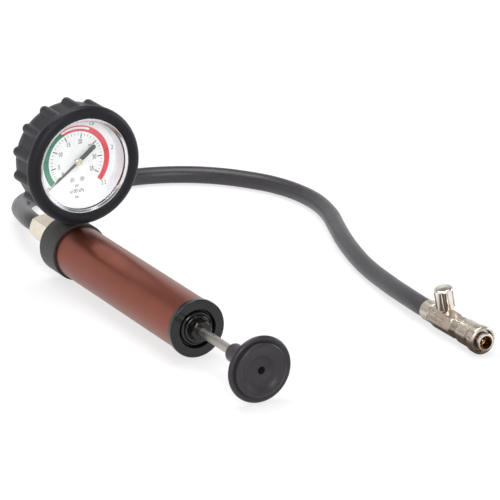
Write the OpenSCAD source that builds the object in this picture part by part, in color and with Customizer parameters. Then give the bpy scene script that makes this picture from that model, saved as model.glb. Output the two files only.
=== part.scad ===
// Cooling system pressure tester: a hand pump with a gauge, a hose and a quick coupler.
// The pump lies along X, its rear cap towards -X and its handle towards +X, and the gauge stands above it.
// Pieces of the pump and the gauge are drawn with x = 0 on the rear cap's back face
// and z = 0 on the pump's axis.

/* [Pump] */
// Outside diameter of the barrel
barrel_d = 35; // [30:0.5:42]
// Wall of the barrel
barrel_wall = 1.5; // [1.2:0.1:2.5]
// Length of the barrel tube
barrel_len = 162; // [130:1:200]
// How far the rear cap stands out round the barrel
cap_wall = 1.5; // [1:0.25:3]
// How far the front cap stands out round the barrel
front_wall = 1.1; // [0.8:0.1:3]
// Length of the rear cap
rear_cap_len = 21; // [20:0.5:26]
// Depth of the rear cap behind the barrel's end
rear_cap_base = 17; // [16.5:0.5:19]
// Length of the plugs that the caps push into the barrel
plug_len = 10; // [10:0.5:14]
// Thickness of the front cap's flange
front_flange = 2.9; // [2.5:0.1:6]
// How far the front cap laps back over the barrel's end
front_lap = 0.6; // [0.4:0.1:2]
// Radius of the recess in the front cap
recess_r = 12.2; // [12:0.1:13.5]
// Depth of the recess in the front cap
recess_depth = 2.6; // [2.4:0.1:3.4]
// Radius of the vent hole in the front cap
vent_r = 1.2; // [0.8:0.1:1.4]
// How far the boss stands out of the front cap
boss_rise = 1.1; // [1:0.1:4]
// Radius at the foot of the boss
boss_foot_r = 11.2; // [10.8:0.1:11.3]

/* [Plunger] */
// Diameter of the pump rod
rod_d = 6; // [5:0.5:6.5]
// Rod in view between the guide nut and the handle's hub
rod_drawn = 39.4; // [10:0.1:60]
// Length of the guide nut in front of the boss
guide_len = 5; // [4:0.1:7]
// Width across the flats of the guide nut
guide_af = 12.5; // [12:0.5:13.5]
// Diameter of the handle disc
handle_d = 42; // [39:0.5:50]
// Diameter of the handle's hub
hub_d = 12; // [11:0.5:15]
// Length of the handle, hub and disc together
handle_len = 35.5; // [30:0.5:45]
// Depth of the dish in the handle's front
handle_dish = 2.4; // [1:0.1:4]
// Radius of the screw hole in the middle of the handle
handle_hole_r = 2.4; // [2:0.1:3]
// Length of the piston body
piston_len = 10; // [8:0.5:16]
// Depth of the piston's cup seal
cup_len = 5; // [4:0.5:8]

/* [Hose fitting] */
// Width across the flats of the hose fitting
fitting_af = 16; // [15:0.5:18]
// Length of the hose fitting's hexagon
fitting_len = 28; // [20:1:36]
// Turn of the hose fitting's hexagon where it stops
fitting_turn = 12; // [0:1:59]
// Width across the flats of the adapter nipple
adapter_af = 14; // [13:0.5:15]
// Thickness of the adapter nipple's hexagon
adapter_len = 8; // [6:0.5:10]
// Width across the flats of the gauge stem's hexagon
stem_af = 11.4; // [11:0.2:12]
// Radius of the threads that screw into the rear cap
port_r = 4.8; // [4.6:0.1:5]
// Thickness of the sealing washers
washer_t = 1; // [0.8:0.1:1.4]

/* [Hose] */
// Outside diameter of the hose
hose_d = 12; // [11:0.5:13]
// Bore of the hose
hose_bore = 6.8; // [6.6:0.1:7.4]
// Radius of the barbs that the hose is pushed over
barb_r = 3.2; // [2.9:0.05:3.2]
// Length of the barbs
barb_len = 9; // [7:0.5:10]

/* [Gauge] */
// Outside diameter of the gauge case
case_d = 63; // [61:0.5:64]
// Wall of the gauge case
case_wall = 0.8; // [0.6:0.1:1]
// Outside diameter of the boot over its rim
boot_d = 79; // [78:0.5:84]
// Gap between the boot and the rear cap
boot_gap = 2.7; // [2.2:0.1:4]
// Depth of the boot from its rear face to its front face
boot_depth = 31.2; // [30:0.1:34]
// Number of ribs round the boot
rib_count = 14; // [10:2:16]
// Radius of one rib
rib_r = 3.4; // [2.4:0.1:3.5]
// How far the boot's lip holds over the bezel
lip_in = 0.5; // [0.3:0.1:1]
// Width of the bezel ring, from the case's wall inwards
bezel_w = 1.9; // [1.6:0.1:2.4]
// Thickness of the bezel ring in front of the case
bezel_t = 1.5; // [1.2:0.1:2]
// Thickness of the lens
lens_t = 1.8; // [1.2:0.1:2.2]
// How far the foot of the dial ring reaches in over the dial
ring_foot = 2.5; // [1.6:0.1:2.8]
// Thickness of the dial plate
dial_t = 0.6; // [0.4:0.1:1]
// Length of the pointer from its hub to its tip
pointer_len = 26.4; // [18:0.2:27]
// Length of the pointer's broad tail
tail_len = 15.4; // [8:0.2:18]
// Angle of the pointer at rest, back from straight up
pointer_rest = 127; // [125:1:135]
// Radius of the pointer's hub cap
hub_cap_r = 2.5; // [1.6:0.1:3]

/* [Movement] */
// Module of the sector and pinion teeth
tooth_module = 0.5; // [0.4:0.05:0.5]
// Teeth on the pinion
pinion_teeth = 10; // [10:1:12]
// Turns of the pinion for one turn of the sector
gear_ratio = 6; // [5:1:7]
// Swing of the pointer over the whole scale
scale_sweep = 270; // [240:5:280]
// Thickness of the movement plates
plate_t = 0.8; // [0.6:0.1:1]
// Gap between the case's wall and the middle line of the Bourdon tube
tube_gap = 6.7; // [6.4:0.1:7]

/* [Coupler] */
// Place of the ferrule's mouth, along the pump from the rear cap's back face
coupler_x = 193; // [188:1:210]
// Place of the coupler beside the pump
coupler_y = 158; // [150:1:170]
// Lean of the release valve towards the pump
coupler_roll = 11; // [0:1:30]
// Width across the flats of the coupler body
body_af = 13.6; // [13.4:0.1:14.4]
// Length of the body's hexagon
body_len = 25.4; // [22:0.2:30]
// Outside diameter of the ferrule
ferrule_d = 13.4; // [13.2:0.1:14.4]
// Length of the ferrule
ferrule_len = 9.4; // [8:0.2:12]
// Outside diameter of the sliding sleeve
sleeve_d = 16; // [15.8:0.1:16.6]
// Outside diameter of the flange on the sleeve's end
flange_d = 18; // [17.6:0.1:20]
// Length of the sliding sleeve
sleeve_len = 20.4; // [19:0.2:23]
// Travel of the sliding sleeve
sleeve_travel = 4; // [2:0.5:4]
// Radius of the mouth of the nozzle's socket
socket_r = 4.4; // [4.2:0.1:4.5]
// Depth of the mouth of the socket
mouth_len = 7.6; // [6:0.1:7.8]
// Radius of the socket behind its mouth
socket_inner_r = 3.9; // [3.6:0.1:4]
// Depth of the socket bore
socket_len = 20; // [16:1:22]
// Outside radius of the nozzle
nozzle_r = 5.7; // [5.6:0.1:5.8]
// How far the nozzle stands out of the sleeve
nozzle_out = 3; // [1:0.5:5]
// Number of locking balls
lock_balls = 4; // [3:1:6]

/* [Release valve] */
// Diameter of the knob
knob_d = 12.2; // [10:0.2:15]
// Height of the knob
knob_h = 14; // [10:0.5:20]
// Number of flutes round the knob
knob_flutes = 6; // [4:1:8]
// Gap under the knob down to the body's flat
knob_lift = 2.6; // [2.4:0.1:4]
// Radius of the valve spindle
spindle_r = 2.2; // [1.8:0.1:2.4]

/* [Hidden] */
$fn = 96;
fit = 0.05;
clear = 0.3;

// Radii and places of the pump
barrel_r = barrel_d / 2;
bore_r = barrel_r - barrel_wall;
cap_r = barrel_r + cap_wall;
front_r = barrel_r + front_wall;
plug_r = bore_r - fit;
barrel_end = rear_cap_base + barrel_len;
face_x = barrel_end + front_flange;
rear_plug_x = rear_cap_base + plug_len;
front_plug_x = barrel_end - plug_len;
seal_cord = 2;
seal_r = bore_r - seal_cord / 2;
floor_drop = handle_d / 2;

// Boss and guide of the front cap
recess_x = face_x - recess_depth;
boss_x = face_x + boss_rise;
guide_thread_r = guide_af / 2 - 0.9;
guide_x = boss_x + guide_len;
rod_r = rod_d / 2;
rod_seal_cord = 1.5;
rod_seal_x = barrel_end - 2;

// Plunger
hub_x = guide_x + rod_drawn;
handle_x = hub_x + handle_len;
hub_r = hub_d / 2;
disc_r = handle_d / 2;
web_x = hub_x + 21;
web_t = 3;
screw_r = 1.5;
rod_front = web_x;
nut_len = 4;
piston_gap = 1;
nut_x = rear_plug_x + piston_gap + rod_drawn;
washer_x = nut_x + nut_len;
cup_x = washer_x + washer_t;
piston_x = cup_x + cup_len;
rod_back = nut_x - 0.5;

// Gallery and check valve in the rear cap
gallery_r = 1.6;
port_depth = 7.5;
stem_x = rear_cap_len / 2;
pocket_r = 3.1;
pocket_x = stem_x + 3;
ball_r = 2.4;
seat_t = 3;
seat_x = rear_plug_x - seat_t;
seat_r = 5;
ball_x = seat_x - fit - sqrt(ball_r * ball_r - gallery_r * gallery_r);

// Hose fitting and route
adapter_x = -washer_t - adapter_len;
fitting_x = adapter_x - fitting_len;
mid_x = (fitting_x - barb_len + handle_x) / 2;
hose_r = hose_d / 2;

// Gauge, by depth from the rear cap's back face
case_r = case_d / 2;
boot_r = boot_d / 2;
boot_body_r = case_r + 0.59 * (boot_r - case_r);
rib_ring_r = boot_r - rib_r - 0.4;
case_in_r = case_r - case_wall;
gauge_z = cap_r + boot_gap + boot_r;
back_open_r = case_r - 4;
stem_hex_h = 3;
stem_hole_r = stem_af / sqrt(3) + clear;
boot_back = 1;
boot_front = boot_back + boot_depth;
lip_t = 1.2;
case_back = boot_back + lip_t + 0.1;
case_floor = case_back + case_wall;
bezel_front = boot_front - 1.4;
bezel_in_r = case_r - bezel_w;
opening_r = case_r - lip_in;
case_front = bezel_front - bezel_t;
lens_front = case_front - 0.4;
lens_back = lens_front - lens_t;
gasket_t = 0.8;
socket_front = stem_x + 2.1;
back_plate_x = socket_front;
link_x = back_plate_x + plate_t + clear;
link_t = 0.5;
sector_x = link_x + link_t + clear;
sector_t = 1;
front_plate_x = sector_x + sector_t + 0.8;
dial_x = front_plate_x + plate_t;
dial_face = dial_x + dial_t;
dial_r = case_in_r - 0.3;
ring_in_r = dial_r - 1.1;
ring_foot_r = dial_r - ring_foot;
pointer_x = dial_face + 2.4;
pointer_t = 0.4;

// Sector and pinion
pinion_pitch_r = tooth_module * pinion_teeth / 2;
sector_pitch_r = pinion_pitch_r * gear_ratio;
sector_teeth = pinion_teeth * gear_ratio;
centre_gap = pinion_pitch_r + sector_pitch_r;
sector_swing = scale_sweep / gear_ratio;
tooth_step = 360 / sector_teeth;
teeth_cut = ceil(sector_swing / tooth_step) + 3;
tooth_thin = 0.12;
pressure_angle = 20;
tail_r = 5;
tail_angle = -90 - sector_swing / 2;
tail_pin_r = 0.5;
arbor_r = 0.8;
pinion_arbor_r = 0.7;
socket_w = 14;
socket_h = 11.4;
slot_play = 0.6;
screw_y = 4.4;
screw_head_r = 1.6;
case_screw_r = 1;
case_screw_len = 4.4;
plate_screw_r = 0.8;
dial_screw_r = 0.6;
plate_screw_depth = 1.9;
case_screw_drop = back_open_r - screw_head_r - 0.7;
plate_screw_drop = case_in_r - 8.9;
tube_bend_r = case_in_r - tube_gap;
tube_tip_angle = -35;
// Eye of the Bourdon tube's tip, and the link from there to the sector's tail
eye = [tube_bend_r * cos(tube_tip_angle) - 2, tube_bend_r * sin(tube_tip_angle) - 2];
tail_pin = [tail_r * cos(tail_angle), tail_r * sin(tail_angle) - centre_gap];
link_reach = norm(eye - tail_pin);
link_angle = atan2(eye[1] - tail_pin[1], eye[0] - tail_pin[0]);
slot_travel = 2 * tail_r * sin(sector_swing / 2);
plate_w = 22;
plate_low = 3.7 - case_in_r;
plate_high = 7;
pillar_r = 1.2;
pillar_inset = 1.6;
pillar_places = [for (side = [-1, 1], y = [plate_low + pillar_inset, plate_high - pillar_inset])
    [side * (plate_w / 2 - pillar_inset), y]];
dial_screw_y = 3.5;
dial_screw_drop = 12.3;

// Coupler, by distance from the hose's end
body_x = ferrule_len + 1.2;
body_end = body_x + body_len;
neck_len = 8;
neck_r = sleeve_d / 2 - 0.8;
tail_thread_r = 3.4;
nozzle_thread_r = nozzle_r - 0.6;
sleeve_x = body_end + neck_len;
sleeve_end = sleeve_x + sleeve_len;
nozzle_end = sleeve_end + nozzle_out;
nozzle_x = body_end + 2;
coupler_bore_r = 2;
flange_r = flange_d / 2;
flange_len = 6.4;
bead_x = sleeve_end - flange_len;
balls_x = sleeve_end - 2.6 - sleeve_travel;
lock_ball_r = 1.4;
ball_centre_r = nozzle_r - lock_ball_r;
socket_seal_x = nozzle_end - socket_len + 2.8;
spring_wire = 0.6;
spring_turns = 4;
sleeve_in_r = neck_r + clear;
spring_r = (nozzle_r + sleeve_in_r) / 2;
spring_x = sleeve_x + 2;
spring_end = bead_x - 4;
retainer_x = sleeve_end - 3.4;
valve_s = body_x + body_len * 0.53;
flat_z = body_af / 2;
knob_z = flat_z + knob_lift;
gland_r = 3.8;
seat_z = 2.6;
knob_r = knob_d / 2;

// The hose's middle line, from the fitting round to the coupler: x from the rear cap, z from the ground
route = [
    [fitting_x, 0, floor_drop], [fitting_x - 12, 0, floor_drop],
    [-62, 2.5, 19.5], [-77, 7, 17], [-92, 12, 14], [-106, 18, 11.2], [-119, 26, 8.8], [-129, 35, 7],
    [-136, 46, 6.2], [-140, 59, 6], [-142, 73, 6], [-142, 88, 6], [-142, 103, 6], [-141, 117, 6],
    [-139, 131, 6], [-133, 148, 6], [-123, 165, 6], [-108, 181, 6], [-88, 195, 6], [-75, 201, 6],
    [-61, 205, 6], [-44, 207, 6], [-25, 206, 6], [-3, 201, 6], [19, 193, 6], [41, 185, 6], [60, 179, 6],
    [78, 174, 6], [95, 170, 6], [112, 167, 6.2], [128, 164.5, 6.8], [144, 162, 7.6], [159, 160, 8.4],
    [173, 158.6, 8.9], [coupler_x - 10, coupler_y, flange_r], [coupler_x - 1, coupler_y, flange_r],
    [coupler_x + ferrule_len - 1, coupler_y, flange_r]
];
hose_sides = 12;
steps_per_leg = 2;

// Points of an arc in a flat outline
function arc(centre, r, from, to, n = 6) =
    [for (i = [0:n]) let (a = from + (to - from) * i / n) [centre[0] + r * cos(a), centre[1] + r * sin(a)]];

// Smooth curve through a list of points, kept at or above the height of a hose that lies on the ground
function blend(a, b, c, d, t) =
    0.5 * (2 * b + (c - a) * t + (2 * a - 5 * b + 4 * c - d) * t * t + (3 * b - a - 3 * c + d) * t * t * t);
function laid(p) = [p[0], p[1], max(p[2], hose_r)];
function smooth(points, n) = let (last = len(points) - 1) concat(
    [for (i = [0:last - 1], k = [0:n - 1])
        laid(blend(points[max(i - 1, 0)], points[i], points[i + 1], points[min(i + 2, last)], k / n))],
    [points[last]]);

function unit(v) = v / norm(v);
function ring_points(path, i, up, r, sides) =
    let (last = len(path) - 1)
    let (along = unit(path[min(i + 1, last)] - path[max(i - 1, 0)]))
    let (side = unit(cross(up, along)))
    let (rise = cross(along, side))
    [for (j = [0:sides - 1]) path[i] + r * (cos(360 * j / sides) * side + sin(360 * j / sides) * rise)];

// A round wire or rod that follows a path
module wire(path, r, sides, up) {
    rings = len(path);
    points = [for (i = [0:rings - 1]) each ring_points(path, i, up, r, sides)];
    walls = [for (i = [0:rings - 2], j = [0:sides - 1])
        let (k = (j + 1) % sides, a = i * sides, b = (i + 1) * sides)
        each [[a + j, b + j, b + k], [a + j, b + k, a + k]]];
    first = [for (j = [0:sides - 1]) j];
    last = [for (j = [0:sides - 1]) rings * sides - 1 - j];
    polyhedron(points, concat([first], walls, [last]), convexity = 10);
}

// A tube with a bore that follows a path
module tube(path, r, bore, sides, up) {
    rings = len(path);
    inner = rings * sides;
    points = concat(
        [for (i = [0:rings - 1]) each ring_points(path, i, up, r, sides)],
        [for (i = [0:rings - 1]) each ring_points(path, i, up, bore, sides)]);
    outside = [for (i = [0:rings - 2], j = [0:sides - 1])
        let (k = (j + 1) % sides, a = i * sides, b = (i + 1) * sides)
        each [[a + j, b + j, b + k], [a + j, b + k, a + k]]];
    inside = [for (i = [0:rings - 2], j = [0:sides - 1])
        let (k = (j + 1) % sides, a = inner + i * sides, b = inner + (i + 1) * sides)
        each [[a + j, a + k, b + k], [a + j, b + k, b + j]]];
    start = [for (j = [0:sides - 1])
        let (k = (j + 1) % sides)
        [j, k, inner + k, inner + j]];
    e = (rings - 1) * sides;
    end = [for (j = [0:sides - 1])
        let (k = (j + 1) % sides)
        [e + k, e + j, inner + e + j, inner + e + k]];
    polyhedron(points, concat(outside, inside, start, end), convexity = 20);
}

// Middle line of a coil spring along X
function coil(x0, x1, r, turns, steps) =
    [for (i = [0:turns * steps]) let (a = 360 * i / steps)
        [x0 + (x1 - x0) * i / (turns * steps), r * cos(a), r * sin(a)]];

// Places and directions
module in_frame() {
    translate([-mid_x, 0, floor_drop]) children();
}

module at_coupler() {
    translate([coupler_x - mid_x, coupler_y, flange_r]) rotate([coupler_roll, 0, 0]) children();
}

module on_gauge() {
    in_frame() translate([0, 0, gauge_z]) rotate([90, 0, 90]) children();
}

// A rod along X from x0 to x1
module rod(x0, x1, r) {
    translate([x0, 0, 0]) rotate([0, 90, 0]) cylinder(h = x1 - x0, r = r);
}

// A hexagon bar along X with a flat on top
module hex_bar(x0, x1, af) {
    translate([x0, 0, 0]) rotate([0, 90, 0]) rotate([0, 0, 90])
        cylinder(h = x1 - x0, r = af / sqrt(3), $fn = 6);
}

// A solid turned round X from an outline of [radius, x] points
module turned(outline) {
    rotate([0, 90, 0]) rotate_extrude() polygon(outline);
}

// A rubber ring round X
module o_ring(x, r, cord) {
    rotate([0, 90, 0]) translate([0, 0, x]) rotate_extrude() translate([r, 0]) circle(d = cord, $fn = 32);
}

// Pump
module barrel_tube() {
    color([0.47, 0.2, 0.17]) in_frame() difference() {
        rod(rear_cap_base, barrel_end, barrel_r);
        rod(rear_cap_base - 1, barrel_end + 1, bore_r);
    }
}

module rear_cap() {
    edge = 1;
    color([0.16, 0.16, 0.17]) in_frame() difference() {
        turned([
            [0, 0], [cap_r - edge, 0], each arc([cap_r - edge, edge], edge, -90, 0),
            [cap_r, rear_cap_len], [barrel_r + fit, rear_cap_len], [barrel_r + fit, rear_cap_base],
            [plug_r, rear_cap_base], [plug_r, rear_plug_x], [0, rear_plug_x]
        ]);
        rod(-1, port_depth, port_r + fit);
        rod(port_depth - 1, pocket_x + 1, gallery_r);
        rod(pocket_x, seat_x, pocket_r);
        rod(seat_x, rear_plug_x + 1, seat_r + fit);
        translate([stem_x, 0, 0]) cylinder(h = cap_r + 1, r = gallery_r);
        translate([stem_x, 0, cap_r - port_depth]) cylinder(h = port_depth + 1, r = port_r + fit);
        translate([stem_x, 0, cap_r - washer_t]) cylinder(h = washer_t + 1, r = port_r + 2.4);
        seal_groove(rear_cap_base + plug_len / 2);
    }
}

// Groove for a barrel seal round a cap's plug
module seal_groove(x) {
    difference() {
        rod(x - seal_cord / 2, x + seal_cord / 2, bore_r + 0.5);
        rod(x - seal_cord, x + seal_cord, seal_r - seal_cord / 2);
    }
}

module front_cap() {
    edge = 0.8;
    bead = 2.2;
    step_r = boss_foot_r - 2.3;
    step = 1.2;
    lap_x = barrel_end - front_lap;
    vent_ring_r = (boss_foot_r + recess_r) / 2;
    color([0.05, 0.05, 0.06]) in_frame() difference() {
        turned([
            [guide_thread_r + fit, front_plug_x], [plug_r, front_plug_x], [plug_r, barrel_end],
            [barrel_r + fit, barrel_end], [barrel_r + fit, lap_x], [front_r, lap_x],
            [front_r, face_x - edge], each arc([front_r - edge, face_x - edge], edge, 0, 90),
            [recess_r + 0.4, face_x], [recess_r, face_x - 0.4], [recess_r - 0.2, recess_x + 0.5],
            [recess_r - 0.7, recess_x], [boss_foot_r, recess_x],
            each arc([boss_foot_r - bead, recess_x + 0.4], bead, 0, 80),
            [step_r, recess_x + 2], [step_r, boss_x - step],
            each arc([step_r - step, boss_x - step], step, 0, 90), [guide_thread_r + fit, boss_x]
        ]);
        rotate([129, 0, 0]) translate([front_plug_x - 1, vent_ring_r, 0])
            rotate([0, 90, 0]) cylinder(h = boss_x - front_plug_x + 2, r = vent_r, $fn = 32);
        seal_groove(barrel_end - plug_len / 2);
    }
}

module barrel_seals() {
    color([0.08, 0.08, 0.08]) in_frame() {
        o_ring(rear_cap_base + plug_len / 2, seal_r, seal_cord - fit);
        o_ring(barrel_end - plug_len / 2, seal_r, seal_cord - fit);
    }
}

module valve_seat() {
    color([0.75, 0.6, 0.3]) in_frame() difference() {
        rod(seat_x, rear_plug_x, seat_r);
        rod(seat_x - 1, rear_plug_x + 1, gallery_r);
    }
}

module valve_ball() {
    color([0.7, 0.7, 0.72]) in_frame() translate([ball_x, 0, 0]) sphere(r = ball_r);
}

module valve_spring() {
    wire_r = 0.25;
    color([0.7, 0.7, 0.72]) in_frame()
        wire(coil(pocket_x + wire_r, ball_x - ball_r + wire_r, ball_r - 0.2, 4, 8), wire_r, 6, [1, 0, 0]);
}

module rod_guide() {
    color([0.1, 0.1, 0.11]) in_frame() difference() {
        union() {
            rod(front_plug_x, boss_x, guide_thread_r);
            rod(boss_x, boss_x + 0.7, guide_af / 2 + 0.2);
            rod(boss_x + 0.6, boss_x + 1.2, guide_af / 2 - 0.4);
            rod(boss_x + 1.1, boss_x + 1.8, guide_af / 2 + 0.1);
            intersection() {
                hex_bar(boss_x + 1.7, guide_x, guide_af);
                turned([
                    [0, boss_x], [guide_af / sqrt(3), boss_x], [guide_af / sqrt(3), guide_x - 0.8],
                    [guide_af / 2 - 0.2, guide_x], [0, guide_x]
                ]);
            }
        }
        rod(front_plug_x - 1, guide_x + 1, rod_r + fit);
        rod(front_plug_x - 1, rod_seal_x + rod_seal_cord / 2, rod_r + rod_seal_cord);
    }
}

module rod_seal() {
    color([0.08, 0.08, 0.08]) in_frame()
        o_ring(rod_seal_x, rod_r + fit + rod_seal_cord / 2, rod_seal_cord - fit);
}

module adapter_washer() {
    color([0.72, 0.45, 0.3]) in_frame() difference() {
        rod(-washer_t, 0, port_r + 2.2);
        rod(-washer_t - 1, 1, port_r + fit);
    }
}

module adapter_nipple() {
    color([0.78, 0.75, 0.7]) in_frame() difference() {
        union() {
            rod(-washer_t - 1, port_depth - 0.5, port_r);
            hex_bar(adapter_x, -washer_t, adapter_af);
            rod(adapter_x - 6, adapter_x + 1, port_r);
        }
        rod(adapter_x - 7, port_depth, gallery_r);
    }
}

module hose_fitting() {
    corner_r = fitting_af / sqrt(3);
    color([0.78, 0.75, 0.7]) in_frame() difference() {
        union() {
            intersection() {
                rotate([fitting_turn, 0, 0]) hex_bar(fitting_x, adapter_x, fitting_af);
                turned([
                    [0, fitting_x], [corner_r - 1.4, fitting_x], [corner_r + 0.2, fitting_x + 1.4],
                    [corner_r + 0.2, adapter_x - 0.8], [corner_r - 0.8, adapter_x], [0, adapter_x]
                ]);
            }
            barb(fitting_x, -1);
        }
        rod(adapter_x - 6.5, adapter_x + 1, port_r + fit);
        rod(fitting_x - barb_len - 1, adapter_x, gallery_r);
    }
}

// A hose barb from x, towards +X or -X
module barb(x, way) {
    start = 1.2;
    third = (barb_len - start) / 3;
    translate([x, 0, 0]) rotate([0, 0, way > 0 ? 0 : 180]) {
        rod(-1, barb_len, barb_r - 0.5);
        for (x = [start:third:barb_len - third / 2]) turned([
            [0, x], [barb_r, x], [barb_r, x + 0.6], [barb_r - 0.5, x + third], [0, x + third]
        ]);
    }
}

module hose() {
    color([0.13, 0.13, 0.14]) translate([-mid_x, 0, 0])
        tube(smooth(route, steps_per_leg), hose_r, hose_bore / 2, hose_sides, [0, 0, 1]);
}

// Plunger
module pump_rod() {
    color([0.72, 0.7, 0.66]) in_frame() difference() {
        rod(rod_back, rod_front, rod_r);
        rod(rod_front - 8, rod_front + 1, screw_r + fit);
    }
}

module piston() {
    groove = 1.5;
    color([0.75, 0.75, 0.78]) in_frame() difference() {
        turned([
            [rod_r + fit, piston_x], [bore_r - clear - 1, piston_x], [bore_r - clear, piston_x + 0.6],
            [bore_r - clear, piston_x + piston_len * 0.4], [bore_r - groove, piston_x + piston_len * 0.45],
            [bore_r - groove, piston_x + piston_len * 0.65], [bore_r - clear, piston_x + piston_len * 0.7],
            [bore_r - clear, piston_x + piston_len], [rod_r + fit, piston_x + piston_len]
        ]);
    }
}

module cup_seal() {
    lip = 1.4;
    color([0.1, 0.1, 0.1]) in_frame() turned([
        [rod_r + fit, cup_x], [rod_r + 6, cup_x], [bore_r - lip - 1.2, cup_x + 1.4],
        [bore_r - lip, cup_x - 1.8], [bore_r - fit, cup_x - 2.4], [bore_r - fit, cup_x + cup_len - 1],
        [bore_r - 1, piston_x], [rod_r + fit, piston_x]
    ]);
}

module piston_washer() {
    color([0.72, 0.7, 0.66]) in_frame() difference() {
        rod(washer_x, cup_x, rod_r + 5);
        rod(washer_x - 1, cup_x + 1, rod_r + fit);
    }
}

module piston_nut() {
    color([0.72, 0.7, 0.66]) in_frame() difference() {
        hex_bar(nut_x, washer_x, rod_d + 4);
        rod(nut_x - 1, washer_x + 1, rod_r + fit);
    }
}

module handle_knob() {
    rim = 2;
    ridge = 1.9;
    flare = 9;
    flare_x = handle_x - 17;
    rim_x = handle_x - 3.8;
    ridge_r = disc_r - 5.6;
    valley = 0.48;
    heart = 0.45;
    color([0.15, 0.15, 0.16]) in_frame() difference() {
        turned([
            [0, hub_x], each arc([hub_r - 0.8, hub_x + 0.8], 0.8, -90, 0, 4),
            each arc([hub_r + 0.3 + flare, flare_x], flare, 180, 120, 7),
            [disc_r - rim, rim_x - 2.5], each arc([disc_r - rim, rim_x], rim, -60, 80, 9),
            [disc_r - 3.4, handle_x - 2.4], each arc([ridge_r, handle_x - ridge], ridge, 10, 90, 6),
            for (i = [1:9]) let (share = i / 10, r = ridge_r - (ridge_r - handle_hole_r) * share)
                [r, handle_x - handle_dish * (share < valley ? (1 - cos(180 * share / valley)) / 2
                    : 1 - heart * (1 - cos(180 * (share - valley) / (1 - valley))) / 2)],
            [handle_hole_r, handle_x - handle_dish * (1 - heart)], [0, handle_x - handle_dish * (1 - heart)]
        ]);
        rod(hub_x - 1, web_x, rod_r + fit);
        rod(web_x - 1, web_x + web_t + 1, screw_r + fit);
        rod(web_x + web_t, handle_x + 1, handle_hole_r);
    }
}

module handle_screw() {
    head_x = web_x + web_t;
    color([0.72, 0.7, 0.66]) in_frame() difference() {
        union() {
            rod(rod_front - 7, head_x, screw_r);
            rod(head_x, head_x + 2, handle_hole_r - 0.15);
        }
        translate([head_x + 1.6, 0, 0]) cube([1.6, 0.5, 3], center = true);
        translate([head_x + 1.6, 0, 0]) cube([1.6, 3, 0.5], center = true);
    }
}

// Gauge
module gauge_stem() {
    case_bottom = gauge_z - case_r;
    color([0.8, 0.66, 0.38]) in_frame() difference() {
        union() {
            translate([stem_x, 0, cap_r - port_depth + 0.5]) cylinder(h = port_depth, r = port_r);
            translate([stem_x, 0, cap_r]) rotate([0, 0, 30])
                cylinder(h = stem_hex_h, r = stem_af / sqrt(3), $fn = 6);
            translate([stem_x, 0, cap_r]) cylinder(h = case_bottom - cap_r + 2, r = port_r);
            intersection() {
                translate([case_floor, -socket_w / 2, case_bottom + 0.6])
                    cube([socket_front - case_floor, socket_w, socket_h]);
                translate([0, 0, gauge_z]) rod(case_floor - 1, socket_front + 1, case_in_r - fit);
            }
        }
        translate([stem_x, 0, 0]) cylinder(h = gauge_z - tube_bend_r + 1, r = gallery_r);
        translate([stem_x - 1, -socket_w, gauge_z - tube_bend_r + 1]) rotate([-90, 0, 0])
            cylinder(h = socket_w, r = gallery_r * 0.5, $fn = 24);
        for (side = [-1, 1]) {
            translate([0, side * screw_y, gauge_z - case_screw_drop])
                rod(case_floor - 1, case_back + case_screw_len, case_screw_r + fit);
            translate([0, side * screw_y, gauge_z - plate_screw_drop])
                rod(socket_front - plate_screw_depth - 0.1, socket_front + 1, plate_screw_r + fit);
        }
    }
}

module stem_washer() {
    color([0.72, 0.45, 0.3]) in_frame() translate([stem_x, 0, cap_r - washer_t]) difference() {
        cylinder(h = washer_t, r = port_r + 2.2);
        translate([0, 0, -1]) cylinder(h = washer_t + 2, r = port_r + fit);
    }
}

module gauge_case() {
    color([0.2, 0.2, 0.21]) on_gauge() difference() {
        translate([0, 0, case_back]) cylinder(h = case_front - case_back, r = case_r);
        translate([0, 0, case_floor]) cylinder(h = case_front, r = case_in_r);
        translate([0, 0, stem_x]) rotate([90, 0, 0]) cylinder(h = case_r + 1, r = port_r + fit);
        for (side = [-1, 1]) translate([side * screw_y, -case_screw_drop, 0])
            cylinder(h = case_floor + 1, r = case_screw_r + fit);
    }
}

module case_screws() {
    color([0.72, 0.7, 0.66]) on_gauge() for (side = [-1, 1]) translate([side * screw_y, -case_screw_drop, 0])
        difference() {
            union() {
                translate([0, 0, case_back - 1]) cylinder(h = 1, r = screw_head_r);
                translate([0, 0, case_back - 0.5]) cylinder(h = case_screw_len, r = case_screw_r);
            }
            translate([-2, -0.25, case_back - 1.5]) cube([4, 0.5, 1]);
        }
}

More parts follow.
